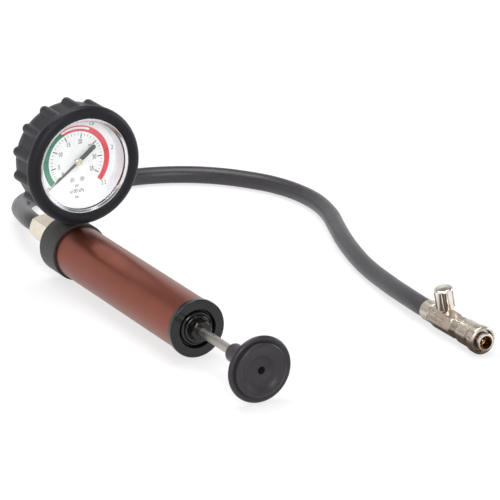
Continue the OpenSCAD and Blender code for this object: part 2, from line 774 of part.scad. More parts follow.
module gauge_boot() {
    rim_x = boot_front - 9;
    rim_round = 0.52 * (boot_r - opening_r);
    crest_r = boot_r - rim_round;
    lip_drop = 0.9;
    lip_run = crest_r - opening_r - 0.3;
    lip_round = (lip_run * lip_run + lip_drop * lip_drop) / 2 / lip_drop;
    heel_r = boot_body_r - 2.2;
    rib_x = boot_back + 0.8 + rib_r;
    color([0.14, 0.14, 0.15]) on_gauge() difference() {
        union() {
            rotate_extrude() polygon([
                [back_open_r, boot_back], each arc([heel_r, boot_back + 1.2], 1.2, -90, 0, 4),
                [boot_body_r - 0.2, boot_back + 5], [boot_body_r, rim_x + 1.6],
                [boot_body_r + 0.3, rim_x + 2.6], [boot_r - 1, rim_x + 3],
                each arc([boot_r - 1, rim_x + 4], 1, -90, 0, 4),
                each arc([crest_r, boot_front - rim_round], rim_round, 0, 90, 8),
                each arc([crest_r, boot_front - lip_round], lip_round, 90 + asin(lip_run / lip_round) / 4,
                    90 + asin(lip_run / lip_round), 3),
                [opening_r, boot_front - lip_drop - 0.3],
                [opening_r, bezel_front + fit], [case_r + fit, bezel_front + fit],
                [case_r + fit, case_back - fit], [back_open_r, case_back - fit]
            ]);
            difference() {
                for (i = [0:rib_count - 1]) rotate([0, 0, 90 + i * 360 / rib_count])
                    translate([rib_ring_r, 0, rib_x]) {
                        cylinder(h = rim_x + 3.5 - rib_x, r = rib_r, $fn = 48);
                        sphere(r = rib_r, $fn = 48);
                    }
                cylinder(h = boot_front, r = case_r + 0.6);
            }
        }
        translate([0, 0, stem_x]) rotate([90, 0, 0]) cylinder(h = boot_r + 1, r = stem_hole_r);
    }
}

module bourdon_tube() {
    thick = 1.8;
    wide = 4.8;
    sweep = 290;
    tube_x = socket_front - 5.7;
    color([0.8, 0.66, 0.38]) on_gauge() {
        rotate([0, 0, tube_tip_angle]) rotate_extrude(angle = sweep)
            translate([tube_bend_r - thick / 2, tube_x]) square([thick, wide]);
        difference() {
            union() {
                rotate([0, 0, tube_tip_angle]) translate([tube_bend_r - 1.4, -4, tube_x]) cube([2.8, 4.2, 6]);
                translate([eye[0] - 2.4, eye[1] - 2.4, socket_front - 0.6]) cube([slot_travel + 4.8, 4.4, 1]);
            }
            slot();
        }
    }
}

// Slot in the Bourdon tube's ear, as long as the tip's pin travels
module slot() {
    r = tail_pin_r + slot_play;
    translate([eye[0], eye[1] - 0.2, socket_front - 2]) cylinder(h = 4, r = r, $fn = 32);
    translate([eye[0] + slot_travel, eye[1] - 0.2, socket_front - 2]) cylinder(h = 4, r = r, $fn = 32);
    translate([eye[0], eye[1] - 0.2 - r, socket_front - 2]) cube([slot_travel, 2 * r, 4]);
}

module link() {
    pin_x = socket_front - 0.6;
    color([0.8, 0.66, 0.38]) on_gauge() translate(tail_pin) rotate([0, 0, link_angle]) difference() {
        union() {
            translate([0, 0, link_x]) cylinder(h = link_t, r = 1.1, $fn = 32);
            translate([link_reach, 0, link_x]) cylinder(h = link_t, r = 1.1, $fn = 32);
            translate([0, -0.6, link_x]) cube([link_reach, 1.2, link_t]);
            translate([link_reach, 0, pin_x]) cylinder(h = link_x + link_t - pin_x, r = tail_pin_r, $fn = 32);
        }
        translate([0, 0, link_x - 1]) cylinder(h = 3, r = tail_pin_r + fit, $fn = 32);
    }
}

// One gear tooth along +X, with involute flanks
function involute(base, t) = base * [cos(t) + t * PI / 180 * sin(t), sin(t) - t * PI / 180 * cos(t)];
function turn(p, a) = [p[0] * cos(a) - p[1] * sin(a), p[0] * sin(a) + p[1] * cos(a)];
function flank(pitch, teeth, tip, root) =
    let (base = pitch * cos(pressure_angle))
    let (half = 90 / teeth - tooth_thin / 2 / pitch * 180 / PI)
    let (start = tan(pressure_angle) * 180 / PI - pressure_angle)
    let (top = acos(min(1, base / tip)))
    let (t_max = tan(top) * 180 / PI)
    concat(
        root < base ? [turn([root, 0], -half - start)] : [],
        [for (i = [0:4]) turn(involute(base, t_max * i / 4), -half - start)]);

// Outline of one tooth at an angle, from its lower flank over the tip to its upper flank
function tooth(pitch, teeth, tip, root, angle) =
    let (low = flank(pitch, teeth, tip, root))
    let (high = [for (i = [len(low) - 1:-1:0]) [low[i][0], -low[i][1]]])
    [for (p = concat(low, high)) turn(p, angle)];

module sector_gear() {
    tip = sector_pitch_r + 0.5 * tooth_module;
    root = sector_pitch_r - 1.2 * tooth_module;
    first = 90 + tooth_step;
    low = first - (teeth_cut - 1) * tooth_step;
    rim = 2.2;
    hub = 2.2;
    fan = concat(
        [hub * [cos(low - 85), sin(low - 85)], root * [cos(low - 3), sin(low - 3)]],
        [for (i = [teeth_cut - 1:-1:0])
            each tooth(sector_pitch_r, sector_teeth, tip, root, first - i * tooth_step)],
        [root * [cos(first + 3), sin(first + 3)], hub * [cos(first + 85), sin(first + 85)]]);
    window = concat(
        arc([0, 0], root - rim, low + 8, first - 8, 12), arc([0, 0], hub + 2.4, first - 14, low + 14, 4));
    color([0.8, 0.66, 0.38]) on_gauge() translate([0, -centre_gap, sector_x]) {
        difference() {
            linear_extrude(sector_t) polygon(fan);
            translate([0, 0, -1]) linear_extrude(sector_t + 2) polygon(window);
        }
        cylinder(h = sector_t, r = hub + 0.3);
        rotate([0, 0, tail_angle]) {
            translate([0, -1, 0]) cube([tail_r, 2, sector_t]);
            translate([tail_r, 0, 0]) cylinder(h = sector_t, r = 1.2, $fn = 32);
            translate([tail_r, 0, link_x - sector_x]) cylinder(h = 1, r = tail_pin_r, $fn = 32);
        }
        translate([0, 0, back_plate_x - sector_x + 0.1])
            cylinder(h = front_plate_x + plate_t - back_plate_x - clear - 0.1, r = arbor_r);
    }
}

module pinion() {
    tip = pinion_pitch_r + 0.9 * tooth_module;
    root = pinion_pitch_r - 1.2 * tooth_module;
    wide = sector_t + 0.6;
    color([0.8, 0.66, 0.38]) on_gauge() {
        translate([0, 0, sector_x - 0.3]) {
            linear_extrude(wide) polygon([for (i = [0:pinion_teeth - 1])
                each tooth(pinion_pitch_r, pinion_teeth, tip, root, -90 + (i + 0.5) * 360 / pinion_teeth)]);
        }
        translate([0, 0, back_plate_x]) cylinder(h = pointer_x + 1 - back_plate_x, r = pinion_arbor_r);
    }
}

// One plate of the movement: a tall strip that carries both arbors
module movement_plate(x) {
    translate([-plate_w / 2, plate_low, x]) cube([plate_w, plate_high - plate_low, plate_t]);
}

module arbor_holes() {
    translate([0, 0, back_plate_x - 1]) cylinder(h = 12, r = pinion_arbor_r + fit, $fn = 32);
    translate([0, -centre_gap, back_plate_x - 1]) cylinder(h = 12, r = arbor_r + fit, $fn = 32);
}

module back_plate() {
    color([0.85, 0.72, 0.42]) on_gauge() difference() {
        movement_plate(back_plate_x);
        arbor_holes();
        for (side = [-1, 1]) translate([side * screw_y, -plate_screw_drop, back_plate_x - 1])
            cylinder(h = 3, r = plate_screw_r + fit, $fn = 32);
    }
}

module front_plate() {
    color([0.85, 0.72, 0.42]) on_gauge() difference() {
        movement_plate(front_plate_x);
        arbor_holes();
        for (side = [-1, 1]) translate([side * dial_screw_y, -dial_screw_drop, front_plate_x - 1])
            cylinder(h = 4, r = dial_screw_r + fit, $fn = 32);
    }
}

module plate_pillars() {
    color([0.85, 0.72, 0.42]) on_gauge() for (p = pillar_places)
        translate([p[0], p[1], back_plate_x + plate_t])
            cylinder(h = front_plate_x - back_plate_x - plate_t, r = pillar_r, $fn = 32);
}

module plate_screws() {
    color([0.72, 0.7, 0.66]) on_gauge() for (side = [-1, 1])
        translate([side * screw_y, -plate_screw_drop, socket_front - plate_screw_depth])
            cylinder(h = plate_screw_depth + plate_t, r = plate_screw_r, $fn = 32);
}

module dial() {
    color([0.93, 0.93, 0.92]) on_gauge() difference() {
        translate([0, 0, dial_x]) cylinder(h = dial_t, r = dial_r);
        translate([0, 0, dial_x - 1]) cylinder(h = 3, r = pinion_arbor_r + 0.6, $fn = 32);
        for (side = [-1, 1]) translate([side * dial_screw_y, -dial_screw_drop, dial_x - 1])
            cylinder(h = 3, r = dial_screw_r + fit, $fn = 32);
    }
}

module dial_screws() {
    color([0.72, 0.7, 0.66]) on_gauge() for (side = [-1, 1])
        translate([side * dial_screw_y, -dial_screw_drop, front_plate_x]) difference() {
            union() {
                cylinder(h = dial_face - front_plate_x + 0.1, r = dial_screw_r, $fn = 32);
                translate([0, 0, dial_face - front_plate_x]) cylinder(h = 0.7, r = screw_head_r, $fn = 32);
            }
            translate([-2, -0.2, dial_face - front_plate_x + 0.4]) cube([4, 0.4, 1]);
        }
}

module dial_ring() {
    cove = 4;
    color([0.85, 0.86, 0.87]) on_gauge() rotate_extrude() polygon([
        [ring_foot_r, dial_face], [dial_r, dial_face], [dial_r, lens_back - gasket_t],
        [ring_in_r + 0.6, lens_back - gasket_t],
        for (i = [0:5]) let (a = 90 * i / 6)
            [ring_in_r - (ring_in_r - ring_foot_r) * (1 - cos(a)), dial_face + 0.1 + cove * (1 - sin(a))]
    ]);
}

module lens_gasket() {
    color([0.08, 0.08, 0.08]) on_gauge() difference() {
        translate([0, 0, lens_back - gasket_t]) cylinder(h = gasket_t, r = dial_r);
        translate([0, 0, lens_back - gasket_t - 1]) cylinder(h = gasket_t + 2, r = ring_in_r + 0.4);
    }
}

module gauge_lens() {
    color([0.85, 0.9, 0.92, 0.35]) on_gauge() rotate_extrude() polygon([
        [0, lens_back], [dial_r, lens_back], [dial_r, lens_front], [bezel_in_r - 0.3, lens_front],
        [bezel_in_r - 0.8, lens_front - 0.3], [0, lens_front - 0.1]
    ]);
}

module bezel() {
    bevel = bezel_w - 0.9;
    color([0.86, 0.86, 0.87]) on_gauge() rotate_extrude() polygon([
        [bezel_in_r, lens_front + fit], [dial_r, lens_front + fit], [dial_r, case_front + fit],
        [case_r, case_front + fit], each arc([case_r - 0.5, bezel_front - 0.5], 0.5, 0, 90, 3),
        [bezel_in_r + bevel, bezel_front], [bezel_in_r, bezel_front - bevel]
    ]);
}

module pointer() {
    broad = 1.5;
    slim = 0.95;
    color([0.37, 0.38, 0.38]) on_gauge() rotate([0, 0, pointer_rest - 270]) translate([0, 0, pointer_x])
    difference() {
        union() {
            linear_extrude(pointer_t) polygon([
                [0, -slim], [pointer_len - 7, -0.6], [pointer_len - 5, -0.25], [pointer_len, -0.1],
                [pointer_len, 0.1], [pointer_len - 5, 0.25], [pointer_len - 7, 0.6], [0, slim]
            ]);
            translate([-tail_len + broad, -broad, 0]) cube([tail_len - broad, 2 * broad, pointer_t]);
            translate([-tail_len + broad, 0, 0]) cylinder(h = pointer_t, r = broad, $fn = 32);
            cylinder(h = pointer_t, r = 2.2, $fn = 48);
        }
        translate([0, 0, -1]) cylinder(h = 3, r = pinion_arbor_r + fit, $fn = 32);
    }
}

module pointer_hub() {
    top = pointer_x + pointer_t;
    color([0.85, 0.78, 0.62]) on_gauge() difference() {
        translate([0, 0, top]) rotate_extrude() polygon([
            [0, 0], [hub_cap_r, 0], each arc([hub_cap_r - 0.8, 0.5], 0.8, 0, 90, 4), [0, 1.5]
        ]);
        translate([0, 0, top - 1]) cylinder(h = 1.7, r = pinion_arbor_r + fit, $fn = 32);
    }
}

// Coupler
module coupler_ferrule() {
    r = ferrule_d / 2;
    color([0.78, 0.75, 0.7]) at_coupler() difference() {
        turned([
            [0, 0], [r - 0.5, 0], [r, 0.6], [r, ferrule_len - 0.6], [r - 0.4, ferrule_len], [0, ferrule_len]
        ]);
        rod(-1, ferrule_len - 1, hose_r + fit);
        rod(ferrule_len - 2, ferrule_len + 1, barb_r - 0.4);
    }
}

module hose_tail() {
    r = ferrule_d / 2;
    color([0.78, 0.75, 0.7]) at_coupler() difference() {
        union() {
            barb(ferrule_len, -1);
            turned([
                [0, ferrule_len], [r - 0.7, ferrule_len], [r - 0.2, ferrule_len + 0.3],
                [r - 0.2, body_x - 0.3], [r - 0.7, body_x], [0, body_x]
            ]);
            rod(body_x - 1, body_x + 6, tail_thread_r);
        }
        rod(-1, body_x + 7, gallery_r);
    }
}

module coupler_body() {
    corner_r = body_af / sqrt(3);
    ring_pitch = 1.4;
    color([0.75, 0.72, 0.66]) at_coupler() difference() {
        union() {
            intersection() {
                hex_bar(body_x, body_end, body_af);
                turned([
                    [0, body_x], [corner_r - 0.8, body_x], [corner_r, body_x + 0.8],
                    [corner_r, body_end - 0.8], [corner_r - 0.8, body_end], [0, body_end]
                ]);
            }
            rod(body_end - 1, sleeve_x, neck_r - 0.5);
            for (i = [0:4]) rod(body_end + 0.7 + i * ring_pitch, body_end + 1.6 + i * ring_pitch, neck_r);
        }
        rod(body_x - 1, body_x + 6.2, tail_thread_r + fit);
        rod(body_x, sleeve_x + 1, coupler_bore_r);
        rod(nozzle_x, sleeve_x + 1, nozzle_thread_r + fit);
        translate([valve_s, 0, 0]) cylinder(h = flat_z + 2, r = 1, $fn = 32);
        translate([valve_s, 0, seat_z]) cylinder(h = flat_z + 2, r = gland_r - 0.6 + fit);
    }
}

module coupler_nozzle() {
    color([0.75, 0.66, 0.5]) at_coupler() difference() {
        union() {
            rod(nozzle_x, sleeve_x + 1, nozzle_thread_r);
            turned([
                [0, sleeve_x], [nozzle_r + 1.4, sleeve_x], [nozzle_r + 1.4, sleeve_x + 1.6],
                [nozzle_r, sleeve_x + 2], [nozzle_r, nozzle_end - 0.5],
                [nozzle_r - 0.4, nozzle_end], [0, nozzle_end]
            ]);
        }
        rod(nozzle_x - 1, nozzle_end + 1, coupler_bore_r);
        rod(nozzle_end - mouth_len, nozzle_end + 1, socket_r);
        rod(nozzle_end - socket_len, nozzle_end, socket_inner_r);
        rod(socket_seal_x - 0.8, socket_seal_x + 0.8, socket_inner_r + 0.8);
        for (i = [0:lock_balls - 1]) rotate([45 + i * 360 / lock_balls, 0, 0]) translate([balls_x, 0, 0])
            cylinder(h = nozzle_r + 1, r = lock_ball_r + fit, $fn = 32);
        turned([
            [nozzle_r - 0.5, retainer_x - 0.4 - fit], [nozzle_r + 1, retainer_x - 0.4 - fit],
            [nozzle_r + 1, retainer_x + 0.4 + fit], [nozzle_r - 0.5, retainer_x + 0.4 + fit]
        ]);
    }
}

module retaining_ring() {
    color([0.3, 0.3, 0.32]) at_coupler() difference() {
        rod(retainer_x - 0.4, retainer_x + 0.4, nozzle_r + 0.9);
        rod(retainer_x - 1, retainer_x + 1, nozzle_r - 0.45);
    }
}

module socket_seal() {
    color([0.08, 0.08, 0.08]) at_coupler() o_ring(socket_seal_x, socket_inner_r + 0.42, 0.74);
}

module locking_balls() {
    color([0.7, 0.7, 0.72]) at_coupler() for (i = [0:lock_balls - 1])
        rotate([45 + i * 360 / lock_balls, 0, 0]) translate([balls_x, 0, ball_centre_r])
            sphere(r = lock_ball_r, $fn = 48);
}

module sleeve_spring() {
    wire_r = spring_wire / 2;
    color([0.7, 0.7, 0.72]) at_coupler()
        wire(coil(spring_x + wire_r, spring_end - wire_r, spring_r, spring_turns, 12), wire_r, 6, [1, 0, 0]);
}

module coupler_sleeve() {
    r = sleeve_d / 2;
    land = nozzle_r + clear;
    color([0.78, 0.75, 0.7]) at_coupler() turned([
        [sleeve_in_r, sleeve_x + 0.2], [r - 0.4, sleeve_x + 0.2], [r, sleeve_x + 0.6], [r, bead_x - 3.2],
        [r - 0.7, bead_x - 2.9], [r - 0.7, bead_x - 0.6],
        each arc([flange_r - 1, bead_x + 1], 1, -90, 0, 4),
        each arc([flange_r - 1.6, sleeve_end - 1.6], 1.6, 0, 90, 5),
        [nozzle_r + 1.8, sleeve_end], [nozzle_r + 1.5, sleeve_end - 0.4], [nozzle_r + 1.5, sleeve_end - 4.4],
        [land, sleeve_end - 5.2], [land, spring_end], [sleeve_in_r, spring_end]
    ]);
}

// Release valve, drawn upright over the coupler's flat
module at_valve() {
    at_coupler() translate([valve_s, 0, 0]) children();
}

module valve_gland() {
    color([0.78, 0.75, 0.7]) at_valve() difference() {
        union() {
            translate([0, 0, seat_z + 2.2]) cylinder(h = flat_z - seat_z - 2.1, r = gland_r - 0.6);
            translate([0, 0, flat_z]) cylinder(h = 1.3, r = gland_r);
        }
        cylinder(h = flat_z + 4, r = spindle_r + fit);
    }
}

module spindle_seal() {
    inner = spindle_r + fit;
    outer = gland_r - 0.6 + fit;
    color([0.08, 0.08, 0.08]) at_valve() translate([0, 0, seat_z + 1.6]) rotate_extrude()
        translate([(inner + outer) / 2, 0]) circle(d = outer - inner, $fn = 24);
}

module valve_spindle() {
    color([0.72, 0.7, 0.66]) at_valve() rotate_extrude() polygon([
        [0, seat_z - 0.2], [0.4, seat_z - 0.2], [spindle_r - 0.2, seat_z + 1], [spindle_r, seat_z + 1.1],
        [spindle_r, knob_z + 6], [0, knob_z + 6]
    ]);
}

module valve_knob() {
    flute_r = knob_r * 0.26;
    color([0.78, 0.75, 0.7]) at_valve() translate([0, 0, knob_z]) difference() {
        rotate_extrude() polygon([
            [0, 0], [knob_r - 0.6, 0], [knob_r, 0.6], [knob_r, knob_h - 1.4],
            each arc([knob_r - 1.2, knob_h - 1.4], 1.2, 0, 75, 4), [0, knob_h]
        ]);
        translate([0, 0, -1]) cylinder(h = 7 + fit, r = spindle_r + fit);
        for (i = [0:knob_flutes - 1]) rotate([0, 0, 143 + i * 360 / knob_flutes])
            translate([knob_r + flute_r * 0.38, 0, -1]) cylinder(h = knob_h - 0.6, r = flute_r, $fn = 48);
    }
}

barrel_tube();
rear_cap();
front_cap();
barrel_seals();
valve_seat();
valve_ball();
valve_spring();
rod_guide();
rod_seal();
pump_rod();
piston();
cup_seal();
piston_washer();
piston_nut();
handle_knob();
handle_screw();
adapter_nipple();
adapter_washer();
hose_fitting();
hose();
gauge_stem();
stem_washer();
gauge_case();
case_screws();
gauge_boot();
bourdon_tube();
link();
sector_gear();
pinion();
back_plate();
front_plate();
plate_pillars();
plate_screws();
dial();
dial_screws();
dial_ring();
lens_gasket();
gauge_lens();
bezel();
pointer();
pointer_hub();
coupler_ferrule();
hose_tail();
coupler_body();
coupler_nozzle();
socket_seal();
locking_balls();
retaining_ring();
sleeve_spring();
coupler_sleeve();
valve_gland();
spindle_seal();
valve_spindle();
valve_knob();
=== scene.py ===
# Cooling system pressure tester: finishes, soft pieces, dial print and studio
import math

import bpy
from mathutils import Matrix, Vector


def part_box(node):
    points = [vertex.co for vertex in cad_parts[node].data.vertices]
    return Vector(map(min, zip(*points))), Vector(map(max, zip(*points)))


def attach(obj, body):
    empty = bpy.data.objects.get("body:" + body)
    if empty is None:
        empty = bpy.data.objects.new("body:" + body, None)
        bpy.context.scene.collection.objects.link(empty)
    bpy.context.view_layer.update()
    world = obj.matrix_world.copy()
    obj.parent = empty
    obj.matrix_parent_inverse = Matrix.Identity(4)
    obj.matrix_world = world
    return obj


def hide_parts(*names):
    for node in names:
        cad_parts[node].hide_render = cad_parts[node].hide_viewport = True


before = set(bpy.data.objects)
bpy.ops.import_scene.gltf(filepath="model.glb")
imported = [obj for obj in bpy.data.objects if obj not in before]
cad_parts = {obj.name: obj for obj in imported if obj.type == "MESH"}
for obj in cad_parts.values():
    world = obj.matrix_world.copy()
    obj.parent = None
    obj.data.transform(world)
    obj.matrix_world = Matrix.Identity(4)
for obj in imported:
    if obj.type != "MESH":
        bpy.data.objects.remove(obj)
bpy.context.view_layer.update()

bl_info = {
    "name": "Cooling system pressure tester",
    "version": (1, 0, 0),
    "blender": (4, 5, 0),
    "location": "View3D > Sidebar > Tester",
    "description": "Dresses the packed pressure tester and sets up its studio",
    "category": "Object",
}

MM = 0.001

# Places that the solids give: the pump lies along X, and the gauge looks along +X
REAR_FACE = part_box("rear_cap")[0].x
DIAL_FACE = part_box("dial")[1].x
GAUGE_AXIS = (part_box("dial")[0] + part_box("dial")[1]) / 2
BOOT_LOW, BOOT_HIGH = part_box("gauge_boot")
CASE_LOW, CASE_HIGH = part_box("gauge_case")
BEZEL_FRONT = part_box("bezel")[1].x

# The hose's middle line in millimetres: x from the rear cap's back face, y to the side, z from the ground
HOSE_ROUTE = [
    (-37, 0, 21), (-49, 0, 21), (-62, 2.5, 19.5), (-77, 7, 17), (-92, 12, 14), (-106, 18, 11.2),
    (-119, 26, 8.8), (-129, 35, 7), (-136, 46, 6.2), (-140, 59, 6), (-142, 73, 6), (-142, 88, 6),
    (-142, 103, 6), (-141, 117, 6), (-139, 131, 6), (-133, 148, 6), (-123, 165, 6), (-108, 181, 6),
    (-88, 195, 6), (-75, 201, 6), (-61, 205, 6), (-44, 207, 6), (-25, 206, 6), (-3, 201, 6),
    (19, 193, 6), (41, 185, 6), (60, 179, 6), (78, 174, 6), (95, 170, 6), (112, 167, 6.2),
    (128, 164.5, 6.8), (144, 162, 7.6), (159, 160, 8.4), (173, 158.6, 8.9), (183, 158, 9),
    (192, 158, 9), (201.4, 158, 9),
]
# Height of that line where the hose lies on the ground, and the places in between for each of its steps
HOSE_LYING_Z = 6 * MM
HOSE_STEPS = 6

# The coupler's own line runs along X from the hose's end, at this y and z
COUPLER_Y = HOSE_ROUTE[-1][1] * MM
COUPLER_Z = HOSE_ROUTE[-1][2] * MM


# Properties
class TesterSizes(bpy.types.PropertyGroup):
    hose_diameter: bpy.props.FloatProperty(
        name="Hose diameter", description="Outside diameter of the hose",
        default=12 * MM, min=6 * MM, max=14 * MM, subtype="DISTANCE", unit="LENGTH")
    band_inner: bpy.props.FloatProperty(
        name="Band inner radius", description="Inner radius of the coloured band on the dial",
        default=19.7 * MM, min=15 * MM, max=21 * MM, subtype="DISTANCE", unit="LENGTH")
    band_outer: bpy.props.FloatProperty(
        name="Band outer radius", description="Outer radius of the coloured band on the dial",
        default=23.5 * MM, min=21 * MM, max=26 * MM, subtype="DISTANCE", unit="LENGTH")
    figure_height: bpy.props.FloatProperty(
        name="Figure height", description="Height of the figures on the dial",
        default=3 * MM, min=1 * MM, max=4 * MM, subtype="DISTANCE", unit="LENGTH")


class TesterColours(bpy.types.PropertyGroup):
    barrel: bpy.props.FloatVectorProperty(
        name="Barrel", description="Colour of the anodised barrel",
        default=(0.23, 0.06, 0.036), size=3, min=0, max=1, subtype="COLOR")
    boot: bpy.props.FloatVectorProperty(
        name="Boot", description="Colour of the gauge's rubber boot",
        default=(0.009, 0.009, 0.013), size=3, min=0, max=1, subtype="COLOR")
    hose: bpy.props.FloatVectorProperty(
        name="Hose", description="Colour of the rubber hose",
        default=(0.031, 0.028, 0.034), size=3, min=0, max=1, subtype="COLOR")
    handle: bpy.props.FloatVectorProperty(
        name="Handle", description="Colour of the handle",
        default=(0.024, 0.021, 0.026), size=3, min=0, max=1, subtype="COLOR")
    nickel: bpy.props.FloatVectorProperty(
        name="Nickel", description="Colour of the plated fittings",
        default=(0.84, 0.77, 0.67), size=3, min=0, max=1, subtype="COLOR")
    band_low: bpy.props.FloatVectorProperty(
        name="Low band", description="Colour of the safe part of the dial's band",
        default=(0.085, 0.28, 0.18), size=3, min=0, max=1, subtype="COLOR")
    band_high: bpy.props.FloatVectorProperty(
        name="High band", description="Colour of the upper part of the dial's band",
        default=(0.74, 0.085, 0.11), size=3, min=0, max=1, subtype="COLOR")


def sizes():
    return bpy.context.scene.tester_sizes


def colours():
    return bpy.context.scene.tester_colours


# Modelling helpers
def deselect():
    if bpy.context.object is not None and bpy.context.object.mode != "OBJECT":
        bpy.ops.object.mode_set(mode="OBJECT")
    bpy.ops.object.select_all(action="DESELECT")


def make_active(piece):
    deselect()
    piece.select_set(True)
    bpy.context.view_layer.objects.active = piece


def settle(piece):
    """Puts a piece's place, turn and scale into its mesh, so that it is unturned at the origin."""
    make_active(piece)
    bpy.ops.object.transform_apply(location=True, rotation=True, scale=True)


def apply_modifiers(piece):
    make_active(piece)
    for name in [modifier.name for modifier in piece.modifiers]:
        bpy.ops.object.modifier_apply(modifier=name)


def join(pieces, name):
    deselect()
    for piece in pieces:
        piece.select_set(True)
    bpy.context.view_layer.objects.active = pieces[0]
    bpy.ops.object.join()
    joined = bpy.context.object
    joined.name = name
    return joined


def finish_piece(piece, name, body, material, smooth_degrees):
    settle(piece)
    piece.name = name
    piece.data.materials.clear()
    piece.data.materials.append(material)
    make_active(piece)
    bpy.ops.object.shade_smooth_by_angle(angle=math.radians(smooth_degrees))
    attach(piece, body)


# A shell turned round an axis along X, grown ring by ring from a circle through (radius, x) stations, of
# which the last is the first again and closes it
def turned_shell(stations, axis, sides):
    r, x = stations[0]
    deselect()
    bpy.ops.mesh.primitive_circle_add(
        vertices=sides, radius=r, location=(x, axis.y, axis.z), rotation=(0, math.pi / 2, 0))
    piece = bpy.context.object
    bpy.ops.object.transform_apply(location=True, rotation=True, scale=True)
    bpy.ops.object.mode_set(mode="EDIT")
    bpy.ops.mesh.select_all(action="SELECT")
    for next_r, next_x in stations[1:]:
        bpy.ops.mesh.extrude_edges_move(TRANSFORM_OT_translate={"value": (next_x - x, 0, 0)})
        k = next_r / r
        bpy.ops.transform.resize(value=(1, k, k), center_override=(next_x, axis.y, axis.z))
        r = next_r
        x = next_x
    bpy.ops.mesh.select_all(action="SELECT")
    bpy.ops.mesh.remove_doubles(threshold=1e-6)
    bpy.ops.mesh.normals_make_consistent(inside=False)
    bpy.ops.object.mode_set(mode="OBJECT")
    return piece


def arc(centre_r, centre_x, radius, start, stop, steps):
    """Stations along an arc; its angles in degrees count from straight out towards +X."""
    points = []
    for i in range(steps + 1):
        angle = math.radians(start + (stop - start) * i / steps)
        points.append((centre_r + radius * math.cos(angle), centre_x + radius * math.sin(angle)))
    return points


# Node helpers
def feed(tree, socket, value):
    """Sets a socket to a plain value, or links another node's output to it."""
    if isinstance(value, bpy.types.NodeSocket):
        tree.links.new(value, socket)
    else:
        socket.default_value = value


def math_node(tree, operation, *values, clamp=False):
    node = tree.nodes.new("ShaderNodeMath")
    node.operation = operation
    node.use_clamp = clamp
    for socket, value in zip(node.inputs, values):
        feed(tree, socket, value)
    return node.outputs[0]


def ramp_node(tree, value, low, high, start=0.0, stop=1.0):
    """Goes from start, where the value is low, to stop, where it is high, and stays there beyond."""
    node = tree.nodes.new("ShaderNodeMapRange")
    feed(tree, node.inputs["From Min"], low)
    feed(tree, node.inputs["From Max"], high)
    feed(tree, node.inputs["To Min"], start)
    feed(tree, node.inputs["To Max"], stop)
    feed(tree, node.inputs["Value"], value)
    return node.outputs["Result"]


def noise_node(tree, vector, scale, detail):
    node = tree.nodes.new("ShaderNodeTexNoise")
    feed(tree, node.inputs["Vector"], vector)
    feed(tree, node.inputs["Scale"], scale)
    feed(tree, node.inputs["Detail"], detail)
    return node


def object_place(tree):
    return tree.nodes.new("ShaderNodeTexCoord").outputs["Object"]


def mapped_place(tree, kind="POINT", **values):
    """Object coordinates through a mapping, with its Location, Rotation and Scale by name."""
    node = tree.nodes.new("ShaderNodeMapping")
    node.vector_type = kind
    feed(tree, node.inputs["Vector"], object_place(tree))
    for label, value in values.items():
        feed(tree, node.inputs[label], value)
    return node.outputs["Vector"]


def length_node(tree, vector):
    node = tree.nodes.new("ShaderNodeVectorMath")
    node.operation = "LENGTH"
    feed(tree, node.inputs[0], vector)
    return node.outputs["Value"]


def mixed_colour(tree, mask, first, second):
    """First where the mask is 0 and second where it is 1; first is a colour or another node's output."""
    node = tree.nodes.new("ShaderNodeMix")
    node.data_type = "RGBA"
    feed(tree, node.inputs["A"], first)
    feed(tree, node.inputs["B"], second)
    feed(tree, node.inputs["Factor"], mask)
    return node.outputs["Result"]


def mixed_surface(tree, mask, first, second):
    node = tree.nodes.new("ShaderNodeMixShader")
    feed(tree, node.inputs["Fac"], mask)
    tree.links.new(first, node.inputs[1])
    tree.links.new(second, node.inputs[2])
    tree.links.new(node.outputs["Shader"], tree.nodes["Material Output"].inputs["Surface"])


# Node groups that several finishes share, each with one output
def new_group(name, inputs, output):
    group = bpy.data.node_groups.new(name, "ShaderNodeTree")
    for label, kind, default in inputs:
        socket = group.interface.new_socket(label, in_out="INPUT", socket_type=kind)
        socket.default_value = default
    group.interface.new_socket(output, in_out="OUTPUT", socket_type="NodeSocketFloat")
    given = group.nodes.new("NodeGroupInput").outputs
    result = group.nodes.new("NodeGroupOutput").inputs[output]
    return group, given, result


# Broad and fine mottling of a handled surface, 0 to 1
def build_mottle():
    group, given, result = new_group(
        "Mottle", [("Scale", "NodeSocketFloat", 60.0), ("Fine share", "NodeSocketFloat", 0.4)], "Value")
    place = object_place(group)
    broad = noise_node(group, place, given["Scale"], 3)
    fine = noise_node(group, place, math_node(group, "MULTIPLY", given["Scale"], 9.0), 6)
    mix = group.nodes.new("ShaderNodeMix")
    feed(group, mix.inputs["Factor"], given["Fine share"])
    feed(group, mix.inputs["A"], broad.outputs["Fac"])
    feed(group, mix.inputs["B"], fine.outputs["Fac"])
    feed(group, result, ramp_node(group, mix.outputs["Result"], 0.3, 0.7))
    return group


# Thin scratches along one way, 0 where the surface is whole and the amount in a scratch
def build_scratches():
    group, given, result = new_group(
        "Scratches",
        [("Scale", "NodeSocketFloat", 300.0), ("Amount", "NodeSocketFloat", 0.3),
         ("Turn", "NodeSocketVector", (0.0, 0.0, 0.3)), ("Stretch", "NodeSocketVector", (0.05, 1.0, 1.0))],
        "Mask")
    streaks = noise_node(
        group, mapped_place(group, Rotation=given["Turn"], Scale=given["Stretch"]), given["Scale"], 2)
    patches = noise_node(group, object_place(group), 45, 2)
    lines = ramp_node(group, streaks.outputs["Fac"], 0.68, 0.74)
    where = ramp_node(group, patches.outputs["Fac"], 0.45, 0.6)
    both = math_node(group, "MULTIPLY", lines, where)
    feed(group, result, math_node(group, "MULTIPLY", both, given["Amount"], clamp=True))
    return group


